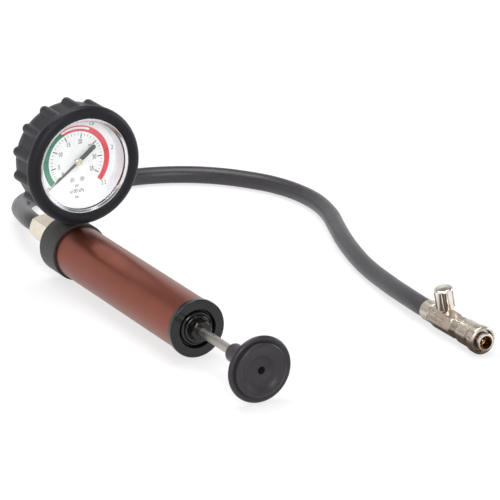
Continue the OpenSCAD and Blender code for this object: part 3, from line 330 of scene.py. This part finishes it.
# Edges that handling has rubbed, 0 where the surface is whole
def build_edge_wear():
    group, given, result = new_group(
        "Edge wear", [("Amount", "NodeSocketFloat", 0.6), ("Break up", "NodeSocketFloat", 350.0)], "Mask")
    geometry = group.nodes.new("ShaderNodeNewGeometry")
    noise = noise_node(group, object_place(group), given["Break up"], 4)
    edge = ramp_node(group, geometry.outputs["Pointiness"], 0.54, 0.66)
    broken = ramp_node(group, noise.outputs["Fac"], 0.35, 0.65)
    both = math_node(group, "MULTIPLY", edge, broken)
    feed(group, result, math_node(group, "MULTIPLY", both, given["Amount"], clamp=True))
    return group


# Fine lines round an axis along X as turning leaves them, or along X where the stretch is low in X
def build_fine_lines():
    group, given, result = new_group(
        "Fine lines",
        [("Pitch scale", "NodeSocketFloat", 2500.0), ("Waver", "NodeSocketFloat", 0.3),
         ("Stretch", "NodeSocketVector", (1.0, 0.03, 0.03))],
        "Height")
    noise = noise_node(group, mapped_place(group, Scale=given["Stretch"]), given["Pitch scale"], 3)
    feed(group, noise.inputs["Distortion"], given["Waver"])
    feed(group, result, noise.outputs["Fac"])
    return group


GROUP_BUILDERS = {
    "mottle": build_mottle,
    "scratches": build_scratches,
    "edge_wear": build_edge_wear,
    "fine_lines": build_fine_lines,
}
GROUPS = {}


def use_group(tree, name, **values):
    """Places a shared group with its own values in a material, and gives the group's output."""
    if name not in GROUPS:
        GROUPS[name] = GROUP_BUILDERS[name]()
    node = tree.nodes.new("ShaderNodeGroup")
    node.node_tree = GROUPS[name]
    for label, value in values.items():
        feed(tree, node.inputs[label.replace("_", " ")], value)
    return node.outputs[0]


# Finishes
MATERIALS = {}


def finish_of(name, build):
    """The finish of that name, built at its first use: build fills in the node tree and the shader."""
    if name not in MATERIALS:
        material = bpy.data.materials.new(name)
        material.use_nodes = True
        build(material.node_tree, material.node_tree.nodes["Principled BSDF"])
        MATERIALS[name] = material
    return MATERIALS[name]


def tone(colour, factor=1.0):
    return (*(min(1.0, channel * factor) for channel in colour), 1)


def mottled(tree, mask, colour, darkest, lightest):
    return mixed_colour(tree, mask, tone(colour, darkest), tone(colour, lightest))


def add_bump(tree, shader, height, distance, strength):
    bump = tree.nodes.new("ShaderNodeBump")
    feed(tree, bump.inputs["Distance"], distance)
    feed(tree, bump.inputs["Strength"], strength)
    feed(tree, bump.inputs["Height"], height)
    feed(tree, shader.inputs["Normal"], bump.outputs["Normal"])


# Black rubber: gloss is the level of its mirrored light, and bloom the pale film that rubber gets
def rubber(name, colour, roughness, grain=900.0, depth=0.04 * MM, gloss=0.25, bloom=0.0):
    def build(tree, shader):
        mottle = use_group(tree, "mottle", Scale=55.0, Fine_share=0.45)
        rough = math_node(tree, "MULTIPLY_ADD", mottle, 0.14, roughness - 0.07)
        feed(tree, shader.inputs["Base Color"], mottled(tree, mottle, colour, 0.82, 1.2))
        feed(tree, shader.inputs["Roughness"], rough)
        feed(tree, shader.inputs["Specular IOR Level"], gloss)
        feed(tree, shader.inputs["Sheen Weight"], bloom)
        feed(tree, shader.inputs["Sheen Roughness"], 0.4)
        fine = use_group(tree, "mottle", Scale=grain, Fine_share=0.5)
        add_bump(tree, shader, fine, depth, 0.5)
    return finish_of(name, build)


# The metal that shows where plating is rubbed through
BENEATH_PLATING = (0.82, 0.68, 0.42)


# Bright metal with faint scratches: turned leaves fine lines on it, and rubbed wears its edges
def plated(name, colour, roughness, turned=True, rubbed=0.5):
    def build(tree, shader):
        mottle = use_group(tree, "mottle", Scale=90.0, Fine_share=0.35)
        wear = use_group(tree, "edge_wear", Amount=rubbed)
        scratches = use_group(tree, "scratches", Scale=700.0, Amount=0.5)
        base = mottled(tree, mottle, colour, 0.86, 1.08)
        rough = math_node(tree, "MULTIPLY_ADD", mottle, 0.1, roughness - 0.04)
        rougher = math_node(tree, "ADD", rough, math_node(tree, "MULTIPLY", scratches, 0.2))
        feed(tree, shader.inputs["Base Color"], mixed_colour(tree, wear, base, tone(BENEATH_PLATING)))
        feed(tree, shader.inputs["Roughness"], rougher)
        feed(tree, shader.inputs["Metallic"], 1)
        if turned:
            add_bump(tree, shader, use_group(tree, "fine_lines"), 0.02 * MM, 0.6)
    return finish_of(name, build)


# Paint or moulded plastic, with a fine grain, and paler where its edges are rubbed
def painted(name, colour, roughness, grain=1500.0, depth=0.02 * MM, coat=0.0, gloss=0.5):
    def build(tree, shader):
        mottle = use_group(tree, "mottle", Scale=70.0, Fine_share=0.3)
        wear = use_group(tree, "edge_wear", Amount=0.4)
        base = mottled(tree, mottle, colour, 0.9, 1.12)
        rough = math_node(tree, "MULTIPLY_ADD", mottle, 0.1, roughness - 0.05)
        feed(tree, shader.inputs["Base Color"], mixed_colour(tree, wear, base, tone(colour, 2.2)))
        feed(tree, shader.inputs["Roughness"], rough)
        feed(tree, shader.inputs["Specular IOR Level"], gloss)
        feed(tree, shader.inputs["Coat Weight"], coat)
        feed(tree, shader.inputs["Coat Roughness"], 0.06)
        fine = use_group(tree, "mottle", Scale=grain, Fine_share=0.5)
        add_bump(tree, shader, fine, depth, 0.4)
    return finish_of(name, build)


# Coloured aluminium, with lines of turning round it and a few scratches along it
def anodised(name, colour):
    def build(tree, shader):
        mottle = use_group(tree, "mottle", Scale=38.0, Fine_share=0.2)
        scratches = use_group(
            tree, "scratches", Scale=900.0, Amount=0.12, Turn=(0.0, 0.0, 0.08), Stretch=(0.04, 1.0, 1.0))
        base = mottled(tree, mottle, colour, 0.9, 1.1)
        rough = math_node(tree, "MULTIPLY_ADD", mottle, 0.06, 0.31)
        feed(tree, shader.inputs["Base Color"], mixed_colour(tree, scratches, base, tone(colour, 1.9)))
        feed(tree, shader.inputs["Roughness"], rough)
        feed(tree, shader.inputs["Metallic"], 0.85)
        turning = use_group(tree, "fine_lines", Pitch_scale=1800.0)
        add_bump(tree, shader, turning, 0.01 * MM, 0.4)
    return finish_of(name, build)


# Satin plating over bar stock, with the lines of drawing and knurling along X. Within bore_r of the
# coupler's line, if it is given, the bare metal of a bore shows.
def satin(name, colour, roughness, depth, bore_r=None, bore_colour=None):
    def build(tree, shader):
        lines = use_group(tree, "fine_lines", Pitch_scale=1500.0, Waver=0.1, Stretch=(0.03, 1.0, 1.0))
        streaks = ramp_node(tree, lines, 0.35, 0.65)
        mottle = use_group(tree, "mottle", Scale=160.0, Fine_share=0.4)
        streak_share = math_node(tree, "MULTIPLY", streaks, 0.55)
        both = math_node(tree, "MULTIPLY_ADD", mottle, 0.45, streak_share)
        wear = use_group(tree, "edge_wear", Amount=0.7)
        shown = mixed_colour(tree, wear, mottled(tree, both, colour, 0.7, 1.2), tone(colour, 1.5))
        if bore_r:
            across = mapped_place(tree, Location=(0, -COUPLER_Y, -COUPLER_Z), Scale=(0, 1, 1))
            inside = ramp_node(tree, length_node(tree, across), bore_r + 0.1 * MM, bore_r)
            shown = mixed_colour(tree, inside, shown, tone(bore_colour))
        rough = math_node(tree, "MULTIPLY_ADD", both, 0.16, roughness - 0.08)
        feed(tree, shader.inputs["Base Color"], shown)
        feed(tree, shader.inputs["Roughness"], rough)
        feed(tree, shader.inputs["Metallic"], 1)
        add_bump(tree, shader, lines, depth, 0.8)
    return finish_of(name, build)


# Clear plastic that throws no shadow
def clear_lens(name):
    def build(tree, shader):
        mottle = use_group(tree, "mottle", Scale=30.0, Fine_share=0.3)
        feed(tree, shader.inputs["Roughness"], math_node(tree, "MULTIPLY", mottle, 0.03))
        feed(tree, shader.inputs["Base Color"], (0.97, 0.98, 0.98, 1))
        feed(tree, shader.inputs["Transmission Weight"], 1)
        feed(tree, shader.inputs["IOR"], 1.46)
        clear = tree.nodes.new("ShaderNodeBsdfTransparent")
        path = tree.nodes.new("ShaderNodeLightPath")
        mixed_surface(tree, path.outputs["Is Shadow Ray"], shader.outputs["BSDF"], clear.outputs["BSDF"])
    return finish_of(name, build)


# Print on the dial
def ink(name, colour):
    def build(tree, shader):
        mottle = use_group(tree, "mottle", Scale=400.0, Fine_share=0.4)
        feed(tree, shader.inputs["Base Color"], mottled(tree, mottle, colour, 0.93, 1.05))
        feed(tree, shader.inputs["Roughness"], 0.55)
    return finish_of(name, build)


def hose_rubber():
    return rubber("hose_rubber", colours().hose, 0.36, grain=700.0, depth=0.08 * MM, gloss=0.42)


def boot_rubber():
    return rubber("boot_rubber", colours().boot, 0.4, grain=1100.0, gloss=0.22, bloom=0.06)


# Stage
CAMERA_AZIMUTH = math.radians(61.015)
CAMERA_HEIGHT = math.radians(19.357)
CAMERA_DISTANCE = 2328.03 * MM
CAMERA_TARGET = Vector((REAR_FACE + 70.52 * MM, 98.13 * MM, 21 * MM))
CAMERA_LENS = 259.2

# The floor lies just under the object. It is partly lit and partly glows, so that it is white with a soft
# shadow, and between these distances from the middle it goes over to the backdrop's white.
FLOOR_SIZE = 12
FLOOR_Z = -0.2 * MM
FLOOR_GLOW = 0.72
FLOOR_WHITE_FROM = 0.5
FLOOR_WHITE_AT = 1.3

# A painted dark reflection: a dark patch on the floor before the coupler. Only mirrored rays see it, and it
# stands for shade there. Given here: its middle, its half sizes along and across the camera's way, and its
# colour
DARK_REFLECTION_MIDDLE = (0.2, 0.1, 0)
DARK_REFLECTION_HALF = (0.14, 0.05, 1)
DARK_REFLECTION_COLOUR = (0.13, 0.105, 0.09)
# Its soft edge, as parts of its half sizes
DARK_REFLECTION_ENDS = 1.15
DARK_REFLECTION_FULL = 0.85

# In mirrored rays the white backdrop stands round the horizon, and between these heights, as parts of the
# way straight up, it fades into a darker room
FADE_FROM = 0.42
FADE_TO = 0.58
ROOM_STRENGTH = 0.16
# Strength of the world for the light that it throws on the object
AMBIENT_STRENGTH = 0.5


def area_light(name, place, towards, size, power):
    deselect()
    bpy.ops.object.light_add(type="AREA", location=place)
    lamp = bpy.context.object
    lamp.name = name
    lamp.data.shape = "RECTANGLE"
    lamp.data.size = size[0]
    lamp.data.size_y = size[1]
    lamp.data.energy = power
    way = Vector(towards) - Vector(place)
    lamp.rotation_euler = way.to_track_quat("-Z", "Y").to_euler()


def seen_directly(tree, path):
    """1 for the rays that the camera sends out, through the lens too."""
    return math_node(tree, "MAXIMUM", path.outputs["Is Camera Ray"], path.outputs["Is Transmission Ray"])


class TESTER_OT_stage(bpy.types.Operator):
    """Camera, floor, lamps and world"""

    bl_idname = "tester.stage"
    bl_label = "Stage"

    def execute(self, context):
        back = Vector((
            math.sin(CAMERA_AZIMUTH) * math.cos(CAMERA_HEIGHT),
            -math.cos(CAMERA_AZIMUTH) * math.cos(CAMERA_HEIGHT),
            math.sin(CAMERA_HEIGHT),
        ))
        deselect()
        bpy.ops.object.camera_add(location=CAMERA_TARGET + back * CAMERA_DISTANCE)
        camera = bpy.context.object
        camera.name = "photo_camera"
        camera.rotation_euler = back.to_track_quat("Z", "Y").to_euler()
        camera.data.lens = CAMERA_LENS
        camera.data.sensor_width = 36
        camera.data.clip_start = 0.1
        camera.data.clip_end = 30
        context.scene.camera = camera
        self.add_floor()
        area_light("top_lamp", place=(-0.1, 0.1, 1.4), towards=(0, 0.05, 0), size=(0.9, 0.9), power=12)
        area_light("back_lamp", place=(-0.7, -0.2, 1.5), towards=(0, 0.05, 0.02), size=(0.9, 0.6), power=9)
        area_light("front_lamp", place=(1.4, -0.5, 0.9), towards=(0, 0.05, 0.05), size=(0.7, 0.7), power=11)
        area_light("side_lamp", place=(0.3, 1.5, 0.5), towards=(0, 0.05, 0.03), size=(0.5, 0.5), power=4)
        self.light_world(context)
        context.scene.view_settings.view_transform = "Standard"
        return {"FINISHED"}

    def add_floor(self):
        deselect()
        bpy.ops.mesh.primitive_plane_add(size=FLOOR_SIZE, location=(0, 0, FLOOR_Z))
        floor = bpy.context.object
        floor.name = "floor"
        settle(floor)
        floor.data.materials.append(finish_of("pale_floor", self.build_floor))

    def build_floor(self, tree, shader):
        feed(tree, shader.inputs["Base Color"], (0.9, 0.9, 0.9, 1))
        feed(tree, shader.inputs["Roughness"], 0.6)
        path = tree.nodes.new("ShaderNodeLightPath")
        glossy = path.outputs["Is Glossy Ray"]
        seen = math_node(tree, "MAXIMUM", seen_directly(tree, path), glossy)
        turn = (0, 0, CAMERA_AZIMUTH - math.pi / 2)
        # Dark patch that only mirrored rays see: painted shade on the floor, which the metal shows as a
        # dark reflection
        on_dark_reflection = mapped_place(tree, "TEXTURE", Location=DARK_REFLECTION_MIDDLE, Rotation=turn, Scale=DARK_REFLECTION_HALF)
        dark_reflection = ramp_node(tree, length_node(tree, on_dark_reflection), DARK_REFLECTION_ENDS, DARK_REFLECTION_FULL)
        dark_reflection = math_node(tree, "MULTIPLY", dark_reflection, glossy)
        glow = tree.nodes.new("ShaderNodeEmission")
        feed(tree, glow.inputs["Color"], mixed_colour(tree, dark_reflection, (1, 1, 1, 1), tone(DARK_REFLECTION_COLOUR)))
        far = ramp_node(tree, length_node(tree, object_place(tree)), FLOOR_WHITE_FROM, FLOOR_WHITE_AT)
        share = math_node(tree, "MAXIMUM", math_node(tree, "MULTIPLY", seen, FLOOR_GLOW), dark_reflection)
        share = math_node(tree, "MAXIMUM", share, math_node(tree, "MULTIPLY", far, seen))
        mixed_surface(tree, share, shader.outputs["BSDF"], glow.outputs["Emission"])

    def light_world(self, context):
        world = bpy.data.worlds.new("studio")
        context.scene.world = world
        world.use_nodes = True
        tree = world.node_tree
        path = tree.nodes.new("ShaderNodeLightPath")
        glossy = path.outputs["Is Glossy Ray"]
        seen = seen_directly(tree, path)
        ways = tree.nodes.new("ShaderNodeSeparateXYZ")
        feed(tree, ways.inputs["Vector"], tree.nodes.new("ShaderNodeTexCoord").outputs["Generated"])
        height = math_node(tree, "ABSOLUTE", ways.outputs["Z"])
        mirrored = ramp_node(tree, height, FADE_FROM, FADE_TO, 1.0, ROOM_STRENGTH)
        mirrored = math_node(tree, "MULTIPLY", mirrored, glossy)
        plain = math_node(tree, "SUBTRACT", 1.0, glossy)
        plain = math_node(tree, "MULTIPLY", plain, AMBIENT_STRENGTH)
        strength = math_node(tree, "MAXIMUM", math_node(tree, "ADD", mirrored, plain), seen)
        background = tree.nodes["Background"]
        feed(tree, background.inputs["Strength"], strength)
        feed(tree, background.inputs["Color"], (1, 1, 1, 1))


# Hose
def smooth_route(steps):
    """Places along a smooth curve through the route, in metres."""
    points = [Vector((REAR_FACE + x * MM, y * MM, z * MM)) for x, y, z in HOSE_ROUTE]
    last = len(points) - 1
    line = []
    for i in range(last):
        a = points[max(i - 1, 0)]
        b = points[i]
        c = points[i + 1]
        d = points[min(i + 2, last)]
        for k in range(steps):
            t = k / steps
            p = 0.5 * (2 * b + (c - a) * t + (2 * a - 5 * b + 4 * c - d) * t * t
                       + (3 * b - a - 3 * c + d) * t * t * t)
            p.z = max(p.z, HOSE_LYING_Z)
            line.append(p)
    line.append(points[last])
    return line


class TESTER_OT_hose(bpy.types.Operator):
    """Rubber hose from the hose fitting to the coupler"""

    bl_idname = "tester.hose"
    bl_label = "Hose"

    def execute(self, context):
        line = smooth_route(HOSE_STEPS)
        curve = bpy.data.curves.new("rubber_hose", "CURVE")
        curve.dimensions = "3D"
        spline = curve.splines.new("POLY")
        spline.points.add(len(line) - 1)
        for point, place in zip(spline.points, line):
            point.co = (*place, 1)
        curve.bevel_depth = sizes().hose_diameter / 2
        curve.bevel_resolution = 7
        curve.use_fill_caps = True
        hose = bpy.data.objects.new("rubber_hose", curve)
        context.scene.collection.objects.link(hose)
        curve.materials.append(hose_rubber())
        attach(hose, "pump")
        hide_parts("hose")
        return {"FINISHED"}


# Boot
class TESTER_OT_boot(bpy.types.Operator):
    """Rubber boot round the gauge, with its ribs blended into it"""

    bl_idname = "tester.boot"
    bl_label = "Boot"

    rib_count: bpy.props.IntProperty(
        name="Ribs", description="Ribs round the boot", default=14, min=8, max=24)

    def execute(self, context):
        back = BOOT_LOW.x
        front = BOOT_HIGH.x
        outer = (BOOT_HIGH.z - BOOT_LOW.z) / 2
        rim = front - 9 * MM
        rib_r = 3.4 * MM
        ring_r = outer - rib_r - 0.4 * MM
        axis = GAUGE_AXIS
        shell = turned_shell(self.profile(back, front, outer, rim), axis, 180)
        ribs = [self.add_rib(axis, ring_r, rib_r, back, rim, i * 2 * math.pi / self.rib_count)
                for i in range(self.rib_count)]
        boot = join([shell, *ribs], "boot")
        self.cut_stem_hole(boot, axis)
        remesh = boot.modifiers.new("one_skin", "REMESH")
        remesh.mode = "VOXEL"
        remesh.voxel_size = 0.62 * MM
        soften = boot.modifiers.new("soften", "SMOOTH")
        soften.factor = 0.5
        soften.iterations = 5
        apply_modifiers(boot)
        finish_piece(boot, "rubber_boot", "pump", boot_rubber(), smooth_degrees=80)
        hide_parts("gauge_boot")
        return {"FINISHED"}

    def profile(self, back, front, outer, rim):
        """The shell's section as (radius, x) stations: from the hole in its back up over the body and the
        rounded rim, in to the lens, and back along the case."""
        gap = 0.05 * MM
        case_r = (CASE_HIGH.z - CASE_LOW.z) / 2
        case_back = CASE_LOW.x - gap
        seat = BEZEL_FRONT + gap
        inside_r = case_r + gap
        opening_r = case_r - 0.5 * MM
        hole_r = case_r - 4 * MM
        body_r = outer - 3.3 * MM
        rim_round = 0.52 * (outer - opening_r)
        crest_r = outer - rim_round
        lip_drop = 0.9 * MM
        lip_run = crest_r - opening_r - 0.3 * MM
        lip_round = (lip_run * lip_run + lip_drop * lip_drop) / 2 / lip_drop
        lip_end = 90 + math.degrees(math.asin(lip_run / lip_round))
        stations = [(hole_r, case_back), (hole_r, back)]
        stations += arc(body_r - 2.2 * MM, back + 1.4 * MM, 1.4 * MM, -80, 0, 3)
        stations += [(body_r - 0.2 * MM, back + 5 * MM), (body_r, rim + 1.6 * MM)]
        stations += [(body_r + 0.3 * MM, rim + 2.5 * MM), (outer - 1.2 * MM, rim + 3 * MM)]
        stations += arc(outer - 1 * MM, rim + 4 * MM, 1 * MM, -60, 0, 3)
        stations += arc(crest_r, front - rim_round, rim_round, 0, 90, 10)
        stations += arc(crest_r, front - lip_round, lip_round, 92, lip_end, 4)
        stations += [(opening_r, front - lip_drop - 0.3 * MM), (opening_r, seat)]
        stations += [(inside_r, seat), (inside_r, case_back), (hole_r, case_back)]
        return stations

    def add_rib(self, axis, centre_r, radius, back, rim, angle):
        y = axis.y + centre_r * math.sin(angle)
        z = axis.z + centre_r * math.cos(angle)
        start = back + 0.8 * MM + radius
        stop = rim + 3.5 * MM
        deselect()
        bpy.ops.mesh.primitive_cylinder_add(
            vertices=32, radius=radius, depth=stop - start, location=((start + stop) / 2, y, z),
            rotation=(0, math.pi / 2, 0))
        bar = bpy.context.object
        settle(bar)
        deselect()
        bpy.ops.mesh.primitive_uv_sphere_add(
            segments=32, ring_count=16, radius=radius, location=(start, y, z))
        dome = bpy.context.object
        settle(dome)
        return join([bar, dome], "rib")

    def cut_stem_hole(self, boot, axis):
        stem_x = REAR_FACE + 10.5 * MM
        wall_z = axis.z - 36 * MM
        deselect()
        bpy.ops.mesh.primitive_cylinder_add(
            vertices=48, radius=6.9 * MM, depth=16 * MM, location=(stem_x, axis.y, wall_z))
        plug = bpy.context.object
        settle(plug)
        hole = boot.modifiers.new("stem_hole", "BOOLEAN")
        hole.operation = "DIFFERENCE"
        hole.solver = "EXACT"
        hole.use_self = True
        hole.object = plug
        apply_modifiers(boot)
        bpy.data.objects.remove(plug)


# Dial print: it stands just off the dial's face, and the ticks on the band stand on the band's print
PRINT_BACK = DIAL_FACE + 0.01 * MM
PRINT_T = 0.05 * MM
ON_BAND = 0.03 * MM

# Printed figures of both scales, with their angles in degrees from straight up, clockwise
INNER_MARKS = [
    ("0", -129), ("5", -101.5), ("10", -63.3), ("15", -26), ("20", 12.4), ("25", 50.8), ("30", 86.8),
    ("35", 122.3),
]
OUTER_MARKS = [("0", -129), (".5", -84), ("1", -29.2), ("1.5", 25.2), ("2", 78.4), ("2.5", 132.5)]
INNER_FIGURES_R = 12.7 * MM
OUTER_FIGURES_R = 26.1 * MM
# Size of the text for a figure's height of 1, how narrow the figures are, and how far their strokes swell
TEXT_SIZE = 1.4
FIGURE_WIDTH = 0.72
STROKE_SWELL = 0.04 * MM

# The units, with their heights over the dial's middle and their sizes as parts of a figure's height
UNITS = (("psi", -16.4 * MM, 0.75), ("x100 kPa", -20.2 * MM, 0.9), ("bar", -24.1 * MM, 0.75))

TICKS_OUTER_R = 18.5 * MM
LONG_TICK_R = 15 * MM
LONG_TICK_W = 0.62 * MM
SHORT_TICK_R = 17.1 * MM
SHORT_TICK_W = 0.28 * MM
BAND_TICK_W = 0.3 * MM


def outer_angle(figure_text):
    return math.radians(dict(OUTER_MARKS)[figure_text])


def clockwise(angle):
    """Way from the dial's middle to a place on it, for an angle from straight up, clockwise."""
    return Vector((0, math.sin(angle), math.cos(angle)))


def band(inner, outer, start, stop):
    """Part of a flat ring on the dial, clockwise from start to stop."""
    middle = (PRINT_BACK, GAUGE_AXIS.y, GAUGE_AXIS.z)
    deselect()
    bpy.ops.mesh.primitive_circle_add(
        vertices=240, radius=outer, fill_type="NGON", location=middle, rotation=(0, math.pi / 2, 0))
    piece = bpy.context.object
    bpy.ops.object.transform_apply(location=True, rotation=True, scale=True)
    bpy.ops.object.mode_set(mode="EDIT")
    bpy.ops.mesh.select_all(action="SELECT")
    bpy.ops.mesh.inset(thickness=outer - inner)
    bpy.ops.mesh.delete(type="FACE")
    for angle, way in ((start, -1), (stop, 1)):
        bpy.ops.mesh.select_all(action="SELECT")
        side = clockwise(angle + math.pi / 2) * way
        bpy.ops.mesh.bisect(plane_co=middle, plane_no=side, clear_outer=True)
    bpy.ops.mesh.select_all(action="SELECT")
    bpy.ops.mesh.extrude_region_move(TRANSFORM_OT_translate={"value": (PRINT_T, 0, 0)})
    bpy.ops.mesh.select_all(action="SELECT")
    bpy.ops.mesh.normals_make_consistent(inside=False)
    bpy.ops.object.mode_set(mode="OBJECT")
    return piece


def tick(angle, inner, outer, width, raised=0.0):
    deselect()
    middle = GAUGE_AXIS + clockwise(angle) * (inner + outer) / 2
    bpy.ops.mesh.primitive_cube_add(
        size=1, location=(PRINT_BACK + raised + PRINT_T / 2, middle.y, middle.z), rotation=(-angle, 0, 0))
    piece = bpy.context.object
    piece.scale = (PRINT_T, width, outer - inner)
    settle(piece)
    return piece


def figure(text, y, z, height):
    """Narrow text on the dial, its middle at y and z from the dial's own."""
    deselect()
    bpy.ops.object.text_add(location=(PRINT_BACK, GAUGE_AXIS.y + y, GAUGE_AXIS.z + z))
    piece = bpy.context.object
    piece.data.body = text
    piece.data.size = height * TEXT_SIZE
    piece.data.align_x = "CENTER"
    piece.data.align_y = "CENTER"
    piece.data.extrude = PRINT_T / 2
    piece.data.offset = STROKE_SWELL
    piece.data.resolution_u = 4
    piece.rotation_euler = (math.pi / 2, 0, math.pi / 2)
    piece.scale = (FIGURE_WIDTH, 1, 1)
    bpy.ops.object.convert(target="MESH")
    settle(bpy.context.object)
    return bpy.context.object


class TESTER_OT_dial_print(bpy.types.Operator):
    """Coloured band, ticks and figures printed on the dial"""

    bl_idname = "tester.dial_print"
    bl_label = "Dial print"

    def execute(self, context):
        self.print_bands()
        self.print_part("ticks", join(self.ticks(), "ticks"), ink("dial_ink", (0.03, 0.028, 0.032)))
        self.print_part("figures", join(self.figures(), "figures"), ink("figure_ink", (0.09, 0.06, 0.06)))
        return {"FINISHED"}

    def print_bands(self):
        inner = sizes().band_inner
        outer = sizes().band_outer
        low = ink("low_ink", colours().band_low)
        high = ink("high_ink", colours().band_high)
        low_end = outer_angle("1")
        middle_end = outer_angle("1.5")
        end_line = math.radians(1.4)
        self.print_part("band_low", band(inner, outer, outer_angle("0"), low_end), low)
        stripes = [
            band(inner, inner + (outer - inner) * 0.4, low_end, middle_end),
            band(outer - (outer - inner) * 0.22, outer, low_end, middle_end),
            band(inner, outer, low_end, low_end + end_line),
        ]
        self.print_part("band_middle", join(stripes, "band"), high)
        self.print_part("band_high", band(inner, outer, middle_end, outer_angle("2.5")), high)

    def ticks(self):
        inner = sizes().band_inner
        outer = sizes().band_outer
        lines = [tick(outer_angle(value), inner, outer, BAND_TICK_W, ON_BAND) for value in (".5", "2")]
        angles = [math.radians(angle) for text, angle in INNER_MARKS]
        for angle in angles:
            lines.append(tick(angle, LONG_TICK_R, TICKS_OUTER_R, LONG_TICK_W))
        for here, after in zip(angles, angles[1:]):
            for fifth in (0.2, 0.4, 0.6, 0.8):
                angle = here + (after - here) * fifth
                lines.append(tick(angle, SHORT_TICK_R, TICKS_OUTER_R, SHORT_TICK_W))
        return lines

    def figures(self):
        height = sizes().figure_height
        figures = []
        for marks, radius in ((INNER_MARKS, INNER_FIGURES_R), (OUTER_MARKS, OUTER_FIGURES_R)):
            for text, angle in marks:
                way = clockwise(math.radians(angle)) * radius
                figures.append(figure(text, way.y, way.z, height))
        for text, over_middle, part in UNITS:
            figures.append(figure(text, 0, over_middle, height * part))
        return figures

    def print_part(self, name, piece, material):
        finish_piece(piece, "dial_" + name, "pump", material, smooth_degrees=30)


# Finishes of the solids
class TESTER_OT_finishes(bpy.types.Operator):
    """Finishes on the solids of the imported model"""

    bl_idname = "tester.finishes"
    bl_label = "Finishes"

    def execute(self, context):
        chosen = colours()
        finishes = {
            "barrel_tube": anodised("anodised_barrel", chosen.barrel),
            "rear_cap": painted("matt_black", (0.04, 0.039, 0.038), 0.5, gloss=0.3),
            "gauge_case": painted("case_black", (0.035, 0.035, 0.036), 0.4),
            "front_cap": painted("gloss_black", (0.005, 0.005, 0.006), 0.14, coat=0.3, gloss=0.3),
            "rod_guide": painted("guide_black", (0.006, 0.006, 0.007), 0.2, gloss=0.4),
            "handle_knob": painted(
                "satin_handle", chosen.handle, 0.36, grain=1800.0, depth=0.03 * MM, gloss=0.35),
            "gauge_boot": boot_rubber(),
            "hose": hose_rubber(),
            "dial": painted("dial_white", (0.94, 0.94, 0.95), 0.35, gloss=0.3),
            "dial_ring": painted("ring_grey", (0.78, 0.78, 0.81), 0.4),
            "bezel": plated("chrome", (0.86, 0.86, 0.87), 0.18, turned=False, rubbed=0.0),
            "dial_screws": plated("screw_steel", (0.86, 0.86, 0.85), 0.16, turned=False, rubbed=0.0),
            "gauge_lens": clear_lens("clear_lens"),
            "pointer": painted("pointer_grey", (0.115, 0.12, 0.12), 0.42),
            "pointer_hub": plated("pale_brass", (0.86, 0.79, 0.66), 0.2, rubbed=0.0),
            "pump_rod": plated("ground_rod", (0.44, 0.41, 0.38), 0.34, rubbed=0.0),
            "valve_knob": plated("bright_nickel", (0.86, 0.8, 0.74), 0.15, turned=False, rubbed=0.1),
            "coupler_nozzle": satin(
                "bare_nozzle", (0.84, 0.72, 0.66), 0.3, depth=0.02 * MM, bore_r=4.4 * MM,
                bore_colour=(0.5, 0.36, 0.16)),
            "adapter_washer": plated("copper", (0.7, 0.34, 0.2), 0.3),
            "piston": plated("turned_aluminium", (0.7, 0.7, 0.72), 0.35),
        }
        shared_finishes = {
            plated("nickel", chosen.nickel, 0.24): ["adapter_nipple", "hose_fitting", "valve_gland"],
            satin("satin_nickel", (0.62, 0.56, 0.48), 0.3, depth=0.1 * MM): [
                "coupler_ferrule", "hose_tail", "coupler_body", "coupler_sleeve"],
            plated("steel", (0.66, 0.65, 0.63), 0.24): [
                "piston_washer", "piston_nut", "handle_screw", "valve_ball", "valve_spring",
                "case_screws", "plate_screws", "locking_balls", "retaining_ring", "sleeve_spring",
                "valve_spindle"],
            plated("brass", (0.72, 0.52, 0.24), 0.3): [
                "valve_seat", "gauge_stem", "bourdon_tube", "link", "sector_gear", "pinion",
                "back_plate", "front_plate", "plate_pillars"],
            rubber("seal_rubber", (0.025, 0.025, 0.026), 0.45): [
                "stem_washer", "barrel_seals", "rod_seal", "cup_seal", "lens_gasket", "socket_seal",
                "spindle_seal"],
        }
        for material, names in shared_finishes.items():
            for name in names:
                finishes[name] = material
        for name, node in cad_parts.items():
            node.data.materials.clear()
            node.data.materials.append(finishes[name])
        return {"FINISHED"}


OPERATORS = (TESTER_OT_stage, TESTER_OT_hose, TESTER_OT_boot, TESTER_OT_dial_print, TESTER_OT_finishes)


class TESTER_PT_panel(bpy.types.Panel):
    """Sizes, colours and steps of the pressure tester"""

    bl_idname = "TESTER_PT_panel"
    bl_label = "Pressure tester"
    bl_space_type = "VIEW_3D"
    bl_region_type = "UI"
    bl_category = "Tester"

    def draw(self, context):
        layout = self.layout
        for group in (context.scene.tester_sizes, context.scene.tester_colours):
            box = layout.box()
            for name in group.__annotations__:
                box.prop(group, name)
        for operator in OPERATORS:
            layout.operator(operator.bl_idname)


CLASSES = (TesterSizes, TesterColours, *OPERATORS, TESTER_PT_panel)


def register():
    for cls in CLASSES:
        bpy.utils.register_class(cls)
    bpy.types.Scene.tester_sizes = bpy.props.PointerProperty(type=TesterSizes)
    bpy.types.Scene.tester_colours = bpy.props.PointerProperty(type=TesterColours)


def unregister():
    del bpy.types.Scene.tester_colours
    del bpy.types.Scene.tester_sizes
    for cls in reversed(CLASSES):
        bpy.utils.unregister_class(cls)


def main():
    register()
    bpy.ops.tester.stage()
    bpy.ops.tester.hose()
    bpy.ops.tester.boot()
    bpy.ops.tester.dial_print()
    bpy.ops.tester.finishes()
    deselect()


if __name__ == "__main__":
    main()
